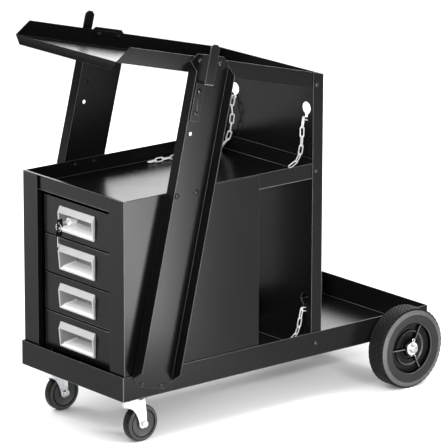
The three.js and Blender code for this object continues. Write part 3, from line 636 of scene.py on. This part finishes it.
# Screws of the shelf and the hooks as (across, along) the strut, and of the panel as (x, z).
SHELF_SCREWS = ((28.3 * MM, 389.8 * MM), (77.9 * MM, 401.8 * MM))
HOOK_SCREWS = {"right": ((35 * MM, 567 * MM), (35 * MM, 612 * MM)),
               "left": ((23 * MM, 571 * MM), (23 * MM, 616 * MM))}
PANEL_SCREW_Y = BASE_FRONT + 528 * MM
PANEL_SCREWS = ((173.7 * MM, 708 * MM), (173.7 * MM, 519 * MM), (177 * MM, 135.5 * MM))
SHELF_INSIDE = 170.5 * MM
TRAY_INSIDE = 170.2 * MM
HANGER_BOLTS = ((161 * MM, -14 * MM), (161 * MM, 14 * MM))      # (x, y from the axle)
BASE_FLOOR_TOP = 108.5 * MM
CASTER_PLATE_SCREW = 23 * MM
CASTER_PLATE_SHEET = 2.5 * MM


def on_strut(sign, out, across, along):
    """A point of a strut: out from its web's inner face, across it from the front, up along it."""
    x = out * math.cos(STRUT_LEAN) - along * math.sin(STRUT_LEAN)
    up = out * math.sin(STRUT_LEAN) + along * math.cos(STRUT_LEAN)
    return Vector((sign * (STRUT_INNER + x),
                   STRUT_FOOT_Y + across * math.cos(STRUT_TILT) + up * math.sin(STRUT_TILT),
                   STRUT_FOOT_Z - across * math.sin(STRUT_TILT) + up * math.cos(STRUT_TILT)))


def make_strut_screws(side, sign):
    """The screws that join a strut to the base, the top tray, the shelf and its cable hook."""
    for place in ("strut_foot_bolt_front", "strut_foot_bolt_rear", "tray_bolt_front", "tray_bolt_rear"):
        node = f"{place}_{side}"
        low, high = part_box(node)
        centre = (low + high) / 2
        centre.x = low.x if sign > 0 else high.x
        dome_screw(f"{node}_screw", "cart", centre, (sign, 0, 0), replaces=[node])
        if place.startswith("tray"):
            inside = (sign * TRAY_INSIDE, centre.y, centre.z)
            hex_nut(f"{node}_nut", "cart", inside, (-sign, 0, 0))
    outward = on_strut(sign, 1, 0, 0) - on_strut(sign, 0, 0, 0)
    for number, (across, along) in enumerate(SHELF_SCREWS, 1):
        centre = on_strut(sign, STRUT_SHEET, across, along)
        dome_screw(f"shelf_screw_{side}_{number}", "cart", centre, outward)
        inside = (sign * SHELF_INSIDE, centre.y, centre.z)
        hex_nut(f"shelf_nut_{side}_{number}", "cart", inside, (-sign, 0, 0))
    for number, (across, along) in enumerate(HOOK_SCREWS[side], 1):
        dome_screw(f"hook_screw_{side}_{number}", "cart", on_strut(sign, HOOK_FACE, across, along), outward)


def make_frame_screws(side, sign):
    """One side's screws and nuts of the rear panel, the axle hanger and the caster plate."""
    for number, (x, z) in enumerate(PANEL_SCREWS, 1):
        centre = (sign * x, PANEL_SCREW_Y, z)
        dome_screw(f"panel_screw_{side}_{number}", "cart", centre, (sign, 0, 0), 5 * MM)
    inside = (sign * TRAY_INSIDE, PANEL_SCREW_Y, PANEL_SCREWS[0][1])
    hex_nut(f"panel_nut_{side}", "cart", inside, (-sign, 0, 0))
    axle_low, axle_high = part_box("rear_axle")
    axle_y = (axle_low.y + axle_high.y) / 2
    for number, (x, y) in enumerate(HANGER_BOLTS, 1):
        centre = (sign * x, axle_y + y, BASE_FLOOR_TOP)
        dome_screw(f"hanger_screw_{side}_{number}", "cart", centre, (0, 0, 1), 5.5 * MM)
    low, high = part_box(f"caster_plate_{side}")
    middle = (low + high) / 2
    underside = high.z - CASTER_PLATE_SHEET
    for number, (x, y) in enumerate(((-1, -1), (1, -1), (1, 1), (-1, 1)), 1):
        centre = (middle.x + x * CASTER_PLATE_SCREW, middle.y + y * CASTER_PLATE_SCREW, underside)
        hex_nut(f"caster_nut_{side}_{number}", "cart", centre, (0, 0, -1), 4.6 * MM, 2.6 * MM)


for frame_side, frame_sign in SIDES:
    make_strut_screws(frame_side, frame_sign)
    make_frame_screws(frame_side, frame_sign)


# ---- Drawer pulls, lock and keys ----

PULL_RIM = 3 * MM                   # how far the rim stands out at the bottom
PULL_BAR = 7 * MM                   # and at the finger bar along the top
PULL_BAR_HEIGHT = 14 * MM
PULL_NECK = 4.5 * MM                # from the rim's outside in to the scoop
PULL_TAPER = 19 * MM                # how far the scoop's ends slope in
PULL_SLOPE = 15 * MM                # and its floor slopes up
PULL_WALL = 2 * MM
PULL_CORNER = 1.5 * MM


def pull_loop(bm, half, low, high, corner, kink, depth_at):
    """A rounded rectangle in X and Z round x = 0. Both sides have a point at the kink's height, and
    depth_at gives Y at a height."""
    points = []
    for centre_x, centre_z, first in ((half - corner, low + corner, -90), (half - corner, high - corner, 0),
                                      (corner - half, high - corner, 90), (corner - half, low + corner, 180)):
        if first == 0:
            points.append((half, kink))
        for k in range(5):
            a = math.radians(first + 22.5 * k)
            points.append((centre_x + corner * math.cos(a), centre_z + corner * math.sin(a)))
        if first == 90:
            points.append((-half, kink))
    return ring_of(bm, [(x, depth_at(z), z) for x, z in points])


def make_pull(number):
    """A pressed pull: raised rim, a finger bar along its top and a scoop with sloping walls."""
    node = f"drawer_{number}_pull"
    low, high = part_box(node)
    half, bottom, top = high.x, low.z, high.z
    bar_front, back = low.y, high.y
    face = bar_front + PULL_BAR
    bar_bottom = top - PULL_BAR_HEIGHT
    bar_inside = top - PULL_BAR

    def front(z):
        if z < bar_bottom:
            return face - PULL_RIM - (PULL_BAR - PULL_RIM) * max(0.0, z - bottom) / (bar_bottom - bottom)
        return bar_front + (PULL_BAR - PULL_RIM + 1.5 * MM) * (z - bar_bottom) / PULL_BAR_HEIGHT

    def behind_front(distance):
        return lambda z: front(min(z, bar_bottom)) + distance

    def flat(y):
        return lambda z: y

    mouth = half - 4 * MM
    throat = half - PULL_NECK - PULL_WALL
    deep = half - PULL_TAPER - PULL_WALL
    bm = bmesh.new()
    loops = [
        pull_loop(bm, half - PULL_TAPER, bottom + PULL_SLOPE, top - PULL_NECK, 6 * MM, bar_bottom,
                  flat(back)),
        pull_loop(bm, half - PULL_NECK, bottom + PULL_NECK, top - PULL_NECK, 3 * MM, bar_bottom, flat(face)),
        pull_loop(bm, half, bottom, top, PULL_CORNER, bar_bottom, flat(face)),
        pull_loop(bm, half, bottom, top, PULL_CORNER, bar_bottom, front),
        pull_loop(bm, mouth, bottom + 3.5 * MM, bar_bottom, PULL_CORNER, bar_bottom - 3 * MM, front),
        pull_loop(bm, throat, bottom + PULL_NECK + PULL_WALL, bar_bottom + 1 * MM, 2.5 * MM,
                  bar_bottom - 4 * MM, behind_front(3 * MM)),
        pull_loop(bm, throat - 1 * MM, bottom + PULL_NECK + PULL_WALL + 1 * MM, bar_inside, 3 * MM,
                  bar_bottom - 2 * MM, flat(face)),
        pull_loop(bm, deep, bottom + PULL_SLOPE + PULL_WALL, bar_inside, 6 * MM, bar_bottom - 2 * MM,
                  flat(back - PULL_WALL)),
    ]
    stack(bm, loops)
    bmesh.ops.recalc_face_normals(bm, faces=bm.faces)
    scoop = {vert for loop in loops[4:] for vert in loop}
    # Upward faces of the scoop take the pale painted light, the other scoop faces the dark painted shade.
    for face in bm.faces:
        if all(vert in scoop for vert in face.verts):
            face.material_index = 1 if face.normal.z > 0.5 else 2
    pull = piece_of(bm, f"{node}_pressing", f"drawer_{number}", (CHROME, SCOOP_FLOOR_LIT, SCOOP_WALL_SHADED),
                    [node], sharp=24)
    round_edges(pull, 0.7 * MM, segments=3, angle=24)


def make_lock():
    """The lock's collared housing, its barrel and its cam."""
    low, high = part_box("lock_housing")
    centre = (low + high) / 2
    radius = (high.x - low.x) / 2
    length = high.y - low.y
    barrel_low, barrel_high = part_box("lock_barrel")
    bore = (barrel_high.x - barrel_low.x) / 2 + 0.3 * MM
    body = radius - 1.0 * MM
    bm = bmesh.new()
    turned(bm, [(bore, 0), (radius - 1.6 * MM, 0), (radius - 0.4 * MM, 0.6 * MM), (radius, 1.5 * MM),
                (radius, 3 * MM), (body, 3 * MM), (body, length), (bore, length)],
           (centre.x, low.y, centre.z), axis="y", steps=48)
    piece_of(bm, "lock_housing_turned", "drawer_1", LOCK_RING, ["lock_housing"], sharp=40)
    machined("lock_barrel", "lock_key", LOCK_CHROME, 0.3 * MM)
    machined("lock_cam", "lock_key", ZINC, 0.3 * MM)


KEY_HEAD_LENGTH = 14 * MM
KEY_SHOULDER = 2 * MM               # radius of the head's corners by the blade
KEY_CROWN = 4.5 * MM                # and of those at its end
KEY_HOLE_INSET = 4 * MM
KEY_HOLE = 2.4 * MM
BLADE_HALF = 3 * MM
BLADE_THICKNESS = 1.4 * MM
KEY_CUTS = (1.2 * MM, 0.6 * MM, 1.6 * MM, 0.9 * MM, 1.3 * MM)


def make_key(node, body, along, across_key):
    """A key with a moulded head and a notched blade, in the CAD key's box. along points down the blade."""
    low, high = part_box(node)
    centre = (low + high) / 2
    along, across_key = Vector(along), Vector(across_key)
    flat = along.cross(across_key)
    length = abs((high - low).dot(along))
    width = abs((high - low).dot(across_key))
    thick = abs((high - low).dot(flat))
    start = centre - along * length / 2

    def place(a, b, c):
        return start + along * a + across_key * b + flat * c

    half = width / 2
    neck = KEY_HEAD_LENGTH - KEY_SHOULDER
    head = []
    for corner_a, corner_b, radius, first in ((neck, half - KEY_SHOULDER, KEY_SHOULDER, 0),
                                              (KEY_CROWN, half - KEY_CROWN, KEY_CROWN, 90),
                                              (KEY_CROWN, KEY_CROWN - half, KEY_CROWN, 180),
                                              (neck, KEY_SHOULDER - half, KEY_SHOULDER, 270)):
        for k in range(7):
            a = math.radians(first + 15 * k)
            head.append((corner_a + radius * math.cos(a), corner_b + radius * math.sin(a)))
    turns = [math.tau * k / len(head) for k in range(len(head))]
    hole = [(KEY_HOLE_INSET + KEY_HOLE * math.cos(a), KEY_HOLE * math.sin(a)) for a in turns]
    bm = bmesh.new()
    rings = []
    for outline, height in ((head, -thick / 2), (head, thick / 2), (hole, thick / 2), (hole, -thick / 2)):
        rings.append(ring_of(bm, [place(a, b, height) for a, b in outline]))
    for first, second in zip(rings, rings[1:] + rings[:1]):
        bridge(bm, first, second)
    moulding = piece_of(bm, f"{node}_head", body, KEY_HEAD, [node])
    round_edges(moulding, 0.5 * MM)

    outline = [(KEY_HEAD_LENGTH - 1 * MM, -BLADE_HALF), (length - 3 * MM, -BLADE_HALF), (length, 0),
               (length - 2.5 * MM, 2 * MM)]
    step = (length - KEY_HEAD_LENGTH - 8 * MM) / len(KEY_CUTS)
    for k, depth in enumerate(KEY_CUTS):
        at = length - 4 * MM - step * k
        outline += [(at, BLADE_HALF - 0.2 * MM), (at - step * 0.35, BLADE_HALF - depth),
                    (at - step * 0.65, BLADE_HALF - depth)]
    outline += [(KEY_HEAD_LENGTH + 3 * MM, BLADE_HALF), (KEY_HEAD_LENGTH - 1 * MM, BLADE_HALF)]
    bm = bmesh.new()
    prism(bm, outline, -BLADE_THICKNESS / 2, BLADE_THICKNESS / 2, place)
    blade = piece_of(bm, f"{node}_blade", body, ZINC)
    round_edges(blade, 0.15 * MM)


RING_WIRE = 0.65 * MM
RING_TURNS = 2
RING_STEPS = 40                     # in each turn


def make_keys():
    """The key in the lock, the spare one below it and the coiled ring that joins them."""
    make_key("key_in_lock", "lock_key", (0, 1, 0), (0, 0, 1))
    make_key("spare_key", "key_bunch", (0, 0, -1), (0, 1, 0))
    low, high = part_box("key_ring")
    centre = (low + high) / 2
    radius = (high.x - low.x) / 2 - 0.9 * MM
    count = RING_TURNS * RING_STEPS
    coil = []
    for i in range(count + 1):
        a = math.tau * i / RING_STEPS + math.radians(200)
        along = 1.0 * MM * (i / count - 0.5)
        coil.append(centre + Vector((radius * math.cos(a), along, radius * math.sin(a))))
    bm = bmesh.new()
    tube(bm, coil, RING_WIRE, sides=8)
    piece_of(bm, "key_ring_coil", "key_bunch", ZINC, ["key_ring"], sharp=60)


for drawer_number in DRAWERS:
    make_pull(drawer_number)
make_lock()
make_keys()


# ---- Rear wheels ----

TREAD_BLOCKS = 44                   # diamonds round the tyre
TREAD_BLOCKS_ACROSS = 4.48          # and across the tread
TREAD_DEPTH = 1.3 * MM
TREAD_STEPS = 40                    # across the tread
TREAD_INSET = 5.6 * MM              # from the sidewall to the tread
TYRE_STEPS = 352                    # round the tyre
TYRE_SECTION = 31 * MM              # from the bead out to the tread
GROOVE_HALF = 0.10                  # half of a groove's floor, as a part of a block
GROOVE_WALL = 0.10                  # and the slope beside it
NOTCH_LEAD = 0.25                   # a notch starts this part of a block before the next block
NOTCH_WIDTH = 0.22
NOTCH_DEPTH = 0.9                   # as a part of the tread's depth
RUBBER_ZONES = (TREAD, SIDEWALL, TYRE_SHOULDER_HIGHLIGHT, TREAD_GROOVE_SHADE)


def tread_height(turn, part_across):
    """1 on a tread block and 0 in a groove. The grooves cross in diamonds."""
    height = 1.0
    for lean in (-TREAD_BLOCKS_ACROSS, TREAD_BLOCKS_ACROSS):
        phase = (turn * TREAD_BLOCKS + lean * part_across) % 1.0
        height = min(height, max(0.0, (abs(phase - 0.5) - GROOVE_HALF) / GROOVE_WALL))
    return height


def make_tyre(side):
    """A tyre with flat sidewalls, sloped shoulders notched at the tread, and a tread of diamonds."""
    node = f"wheel_tyre_{side}"
    low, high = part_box(node)
    centre = (low + high) / 2
    radius = (high.z - low.z) / 2
    half = (high.x - low.x) / 2
    bead = radius - TYRE_SECTION
    wall = [(bead, -half + 1.2 * MM), (bead + 1.2 * MM, -half), (radius - 14.6 * MM, -half),
            (radius - 13.4 * MM, -half + 0.4 * MM), (radius - 4.0 * MM, -half + 3.4 * MM),
            (radius - 2.4 * MM, -half + 4.2 * MM), (radius - 0.8 * MM, -half + 5.2 * MM)]
    tread_width = 2 * (half - TREAD_INSET)
    tread = [(radius, -half + TREAD_INSET + tread_width * k / TREAD_STEPS) for k in range(TREAD_STEPS + 1)]
    profile = wall + tread + [(r, -x) for r, x in reversed(wall)]
    first_tread = len(wall)
    last_tread = first_tread + TREAD_STEPS
    notched = (first_tread - 2, first_tread - 1, last_tread + 1, last_tread + 2)
    first_shoulder = first_tread - 4
    last_shoulder = last_tread + 3
    bm = bmesh.new()
    rings = []
    for index, (r, x) in enumerate(profile):
        ring = []
        for i in range(TYRE_STEPS):
            turn = i / TYRE_STEPS
            depth = 0.0
            if first_tread <= index <= last_tread:
                depth = TREAD_DEPTH * (1 - tread_height(turn, (index - first_tread) / TREAD_STEPS))
            elif index in notched and (turn * TREAD_BLOCKS + NOTCH_LEAD) % 1.0 < NOTCH_WIDTH:
                depth = TREAD_DEPTH * NOTCH_DEPTH
            a = math.tau * turn
            point = (x, (r - depth) * math.cos(a), (r - depth) * math.sin(a))
            ring.append(bm.verts.new(centre + Vector(point)))
        rings.append(ring)
    for index in range(len(rings)):
        # The shoulders take a much paler rubber, a painted highlight.
        if index in (first_shoulder, last_shoulder):
            zone = TYRE_SHOULDER_HIGHLIGHT
        elif first_shoulder < index < last_shoulder:
            zone = TREAD
        else:
            zone = SIDEWALL
        bridge(bm, rings[index], rings[(index + 1) % len(rings)], RUBBER_ZONES.index(zone))
    # The groove floors take an almost black rubber, painted shade in the recesses.
    for face in bm.faces:
        middle = face.calc_center_median() - centre
        is_deep = math.hypot(middle.y, middle.z) < radius - TREAD_DEPTH * 0.6
        if is_deep and face.material_index == RUBBER_ZONES.index(TREAD):
            face.material_index = RUBBER_ZONES.index(TREAD_GROOVE_SHADE)
    piece_of(bm, f"{node}_moulding", f"rear_wheel_{side}", RUBBER_ZONES, [node], sharp=38)


RIB_ANGLES = (31, 151, 271)         # degrees from the top towards the back
RIB_HALF = 1.1 * MM
RIB_START = 19.2 * MM
RIB_END = 54.6 * MM
HUB_CHAMFERS = ((37.2 * MM, 38.8 * MM), (56.9 * MM, 58.1 * MM))     # radii between which the hub is paler: painted highlight arcs
HUB_DISH = 10 * MM                  # from the rim of the hub's outer face down to the web
HUB_BACK_DISH = 21.5 * MM           # the same on the face towards the cart


def dished_face(half, radius, dish):
    """One face of the hub from its bore to its rim, as (radius, distance from the middle) pairs."""
    web = half - dish
    return [(AXLE_BORE, half), (18 * MM, half), (19 * MM, half - 0.8 * MM), (20.5 * MM, web + 1 * MM),
            (24 * MM, web), (25.4 * MM, web + 1.4 * MM), (26.4 * MM, web + 1.4 * MM), (26.8 * MM, web),
            (36.5 * MM, web - 0.5 * MM), (39.5 * MM, web + 2 * MM), (40.7 * MM, web + 2 * MM),
            (41.3 * MM, web - 0.5 * MM), (50 * MM, web - 0.5 * MM), (53.5 * MM, web + 1.5 * MM),
            (55.4 * MM, half - 1.5 * MM), (56.8 * MM, half - 2 * MM), (58.2 * MM, half),
            (radius - 0.4 * MM, half), (radius, half - 0.4 * MM)]


def make_hub(side, sign):
    """A hub dished on both faces: a rim, a web with two raised rings, and a boss."""
    node = f"wheel_hub_{side}"
    low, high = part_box(node)
    centre = (low + high) / 2
    radius = (high.z - low.z) / 2
    half = (high.x - low.x) / 2
    front = dished_face(half, radius, HUB_DISH if sign > 0 else HUB_BACK_DISH)
    back = dished_face(half, radius, HUB_BACK_DISH if sign > 0 else HUB_DISH)
    bm = bmesh.new()
    turned(bm, front + [(r, -x) for r, x in reversed(back)], centre, steps=96)
    # The raised ring's and the rim's chamfers take a paler plastic, a painted highlight.
    for face in bm.faces:
        middle = face.calc_center_median() - centre
        at = math.hypot(middle.y, middle.z)
        face.material_index = 1 if any(inner < at < outer for inner, outer in HUB_CHAMFERS) else 0
    piece_of(bm, f"{node}_moulding", f"rear_wheel_{side}", (HUB, HUB_CHAMFER_HIGHLIGHT), [node])
    make_ribs(side, "outer", centre, half, sign, HUB_DISH)
    make_ribs(side, "inner", centre, half, -sign, HUB_BACK_DISH)


def make_ribs(side, face_name, centre, half, face_sign, dish):
    """The three ribs in one of a hub's dishes, their outward faces paler as a painted highlight."""
    foot = half - dish - 1.5 * MM
    outline = [(RIB_START, foot), (RIB_START, half - 2.5 * MM), (50 * MM, half - 5.2 * MM),
               (RIB_END, half - 4 * MM), (RIB_END, foot)]
    for number, angle in enumerate(RIB_ANGLES, 1):
        a = math.radians(angle)
        outward = Vector((0, math.sin(a), math.cos(a)))
        sideways = Vector((0, math.cos(a), -math.sin(a)))

        def place(r, x, c):
            return centre + outward * r + Vector((face_sign * x, 0, 0)) + sideways * c

        bm = bmesh.new()
        prism(bm, outline, -RIB_HALF, RIB_HALF, place)
        name = f"hub_rib_{side}_{face_name}_{number}"
        rib = piece_of(bm, name, f"rear_wheel_{side}", (HUB, RIB_FACE_HIGHLIGHT))
        # The outward face gets the paler plastic, a painted highlight.
        for polygon in rib.data.polygons:
            if polygon.normal.x * face_sign > 0.5:
                polygon.material_index = 1
        round_edges(rib, 0.3 * MM)


def make_axle():
    """The bar that both rear wheels turn on."""
    low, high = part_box("rear_axle")
    centre = (low + high) / 2
    radius = (high.z - low.z) / 2
    half = (high.x - low.x) / 2
    chamfer = 1.5 * MM
    bm = bmesh.new()
    turned(bm, [(0, -half), (radius - chamfer, -half), (radius, -half + chamfer), (radius, half - chamfer),
                (radius - chamfer, half), (0, half)], centre, steps=48)
    piece_of(bm, "rear_axle_bar", "cart", STEEL, ["rear_axle"])


def make_washer(side):
    """A flat washer with its edges broken."""
    node = f"axle_washer_{side}"
    low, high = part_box(node)
    outer = (high.z - low.z) / 2
    half = (high.x - low.x) / 2
    bm = bmesh.new()
    turned(bm, [(AXLE_BORE, -half), (outer - 0.5 * MM, -half), (outer, -half + 0.4 * MM),
                (outer, half - 0.5 * MM), (outer - 0.6 * MM, half), (AXLE_BORE + 0.4 * MM, half),
                (AXLE_BORE, half - 0.4 * MM)], (low + high) / 2)
    piece_of(bm, f"{node}_ring", "cart", ZINC, [node])


PIN_WIRE = 0.8 * MM
PIN_EYE = 3.4 * MM
PIN_EYE_STEPS = 15


def make_split_pin(side):
    """A split pin: an eye above the axle and two legs below it, spread a little."""
    node = f"split_pin_{side}"
    low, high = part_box(node)
    middle = Vector(((low.x + high.x) / 2, (low.y + high.y) / 2, 0))
    eye_z = high.z - PIN_EYE - 0.8 * MM
    leg = [(-3.5 * MM, -4.5 * MM, low.z + 1 * MM), (-1.2 * MM, -2.4 * MM, low.z + 4 * MM),
           (0, -PIN_WIRE, low.z + 8 * MM), (0, -PIN_WIRE, eye_z - 2 * PIN_EYE)]
    eye = []
    for k in range(PIN_EYE_STEPS):
        a = math.radians(-115 - 310 * k / (PIN_EYE_STEPS - 1))
        eye.append((0, -PIN_EYE * math.cos(a), eye_z + PIN_EYE * 1.1 * math.sin(a)))
    other_leg = [(-x, -y, z) for x, y, z in reversed(leg)]
    bm = bmesh.new()
    tube(bm, [middle + Vector(point) for point in leg + eye + other_leg], PIN_WIRE)
    piece_of(bm, f"{node}_wire", "cart", ZINC, [node], sharp=60)


for wheel_side, wheel_sign in SIDES:
    make_tyre(wheel_side)
    make_hub(wheel_side, wheel_sign)
make_axle()
for washer_side, _ in SIDES:
    make_washer(washer_side)
    make_split_pin(washer_side)


# ---- Casters ----

CASTER_BORE = 4.4 * MM
CASTER_GROOVE_SHADE = (0.716, 0.779)      # the flank's groove, painted dark as painted shade, as parts of the radius
CASTER_TREAD_START = 0.945


def make_caster_wheel(side):
    """A small wheel with a boss, a grooved flank and a crowned tread."""
    node = f"caster_wheel_{side}"
    low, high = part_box(node)
    centre = (low + high) / 2
    r = (high.z - low.z) / 2
    half = (high.x - low.x) / 2
    flank = [(CASTER_BORE, half), (9.5 * MM, half), (10 * MM, half - 0.5 * MM), (11 * MM, half - 1.6 * MM),
             (r * 0.70, half - 1.2 * MM), (r * 0.715, half - 0.8 * MM), (r * 0.72, half - 3.6 * MM),
             (r * 0.775, half - 3.6 * MM), (r * 0.78, half - 0.4 * MM), (r * 0.80, half)]
    edge = [(r * 0.90, half - 0.5 * MM), (r * 0.955, half - 2.2 * MM), (r * 0.985, half - 4.2 * MM),
            (r, half - 7 * MM)]
    outside = flank + edge
    bm = bmesh.new()
    turned(bm, outside + [(radius, -x) for radius, x in reversed(outside)], centre, steps=72)
    for face in bm.faces:
        middle = face.calc_center_median() - centre
        part = math.hypot(middle.y, middle.z) / r
        # The tread is dark rubber; the flank's groove is painted the same dark as painted shade.
        is_tread_or_shaded_groove = part > CASTER_TREAD_START or CASTER_GROOVE_SHADE[0] < part < CASTER_GROOVE_SHADE[1]
        face.material_index = 1 if is_tread_or_shaded_groove else 0
    materials = (CASTER_GREY, CASTER_TREAD_AND_GROOVE_SHADE)
    piece_of(bm, f"{node}_moulding", f"caster_roller_{side}", materials, [node], sharp=35)


def make_casters():
    """Both casters: the roller, the fork, the top plate and the pin through the roller."""
    for side, _ in SIDES:
        make_caster_wheel(side)
        sheet_part(f"caster_fork_{side}", (ZINC,), fold=1.0 * MM, cut=0.3 * MM)
        sheet_part(f"caster_plate_{side}", (ZINC,), fold=0.8 * MM, cut=0.3 * MM)
        machined(f"caster_axle_{side}", f"caster_swivel_{side}", ZINC, 0.5 * MM)


make_casters()


# ---- Studio ----

def make_floor():
    """A plain pale floor, wide enough to fill the picture."""
    bm = bmesh.new()
    bmesh.ops.create_grid(bm, x_segments=8, y_segments=8, size=14)
    mesh = bpy.data.meshes.new("floor")
    bm.to_mesh(mesh)
    bm.free()
    floor = bpy.data.objects.new("floor", mesh)
    bpy.context.scene.collection.objects.link(floor)
    n = Nodes("floor_paper")
    n.colours(n.noise(3, 2), [(0.3, grey(0.88)), (0.7, grey(0.90))])
    n.set("Roughness", 0.9)
    n.set("Specular IOR Level", 0.1)
    mesh.materials.append(n.material)


def aim(name, data, location, target):
    """A lamp at a place, turned towards another."""
    lamp = bpy.data.objects.new(name, data)
    lamp.location = location
    lamp.rotation_mode = "QUATERNION"
    lamp.rotation_quaternion = (Vector(target) - Vector(location)).to_track_quat("-Z", "Y")
    bpy.context.scene.collection.objects.link(lamp)


def softbox(name, location, target, size, power):
    """A rectangular lamp, with its size in metres and its power in watts."""
    data = bpy.data.lights.new(name, "AREA")
    data.shape = "RECTANGLE"
    data.size, data.size_y = size
    data.energy = power
    aim(name, data, location, target)


def chain_light():
    """A narrow spot on the chains and the bays behind them."""
    data = bpy.data.lights.new("chain_light", "SPOT")
    data.energy = 480
    data.spot_size = math.radians(15)
    data.spot_blend = 0.6
    data.shadow_soft_size = 0.12
    aim("chain_light", data, (2.5, -2.1, 1.45), (0, 0.12, 0.42))


def studio_world():
    """Bright overhead and dimmer toward the horizon."""
    world = bpy.data.worlds.new("studio")
    world.use_nodes = True
    tree = world.node_tree
    direction = tree.nodes.new("ShaderNodeTexCoord")
    split = tree.nodes.new("ShaderNodeSeparateXYZ")
    ramp = tree.nodes.new("ShaderNodeValToRGB")
    tree.links.new(direction.outputs["Generated"], split.inputs[0])
    tree.links.new(split.outputs["Z"], ramp.inputs["Fac"])
    tree.links.new(ramp.outputs["Color"], tree.nodes["Background"].inputs["Color"])
    for element, (place, value) in zip(ramp.color_ramp.elements, ((0.1, 0.28), (0.7, 1.0))):
        element.position = place
        element.color = (value, value, value, 1)
    tree.nodes["Background"].inputs["Strength"].default_value = 1.4
    return world


def make_studio():
    """Floor, sky and lamps, and a plain view transform."""
    make_floor()
    bpy.context.scene.world = studio_world()
    bpy.context.scene.view_settings.view_transform = "Standard"
    softbox("key", (1.0, -2.8, 4.0), (0, 0, 0.4), (1.6, 1.6), 70)
    softbox("beside_camera", (3.2, -2.9, 1.5), (0, 0, 0.3), (0.45, 0.45), 30)
    softbox("rim_behind", (1.1, 2.4, 3.1), (0, 0, 0.4), (0.5, 0.5), 34)
    softbox("rim_left", (-3.0, -1.1, 2.8), (0, 0, 0.4), (0.5, 0.5), 34)
    softbox("side_strip", (0.80, 0.07, 0.32), (0.17, -0.42, 0.35), (0.20, 0.60), 9.5)
    chain_light()
    softbox("low_behind", (-2.2, 1.9, 1.1), (0, 0.3, 0.3), (1.8, 1.5), 32)
    softbox("over_left_floor", (-2.1, -1.5, 0.7), (-2.1, -1.5, 0.0), (1.0, 1.0), 14)


make_studio()
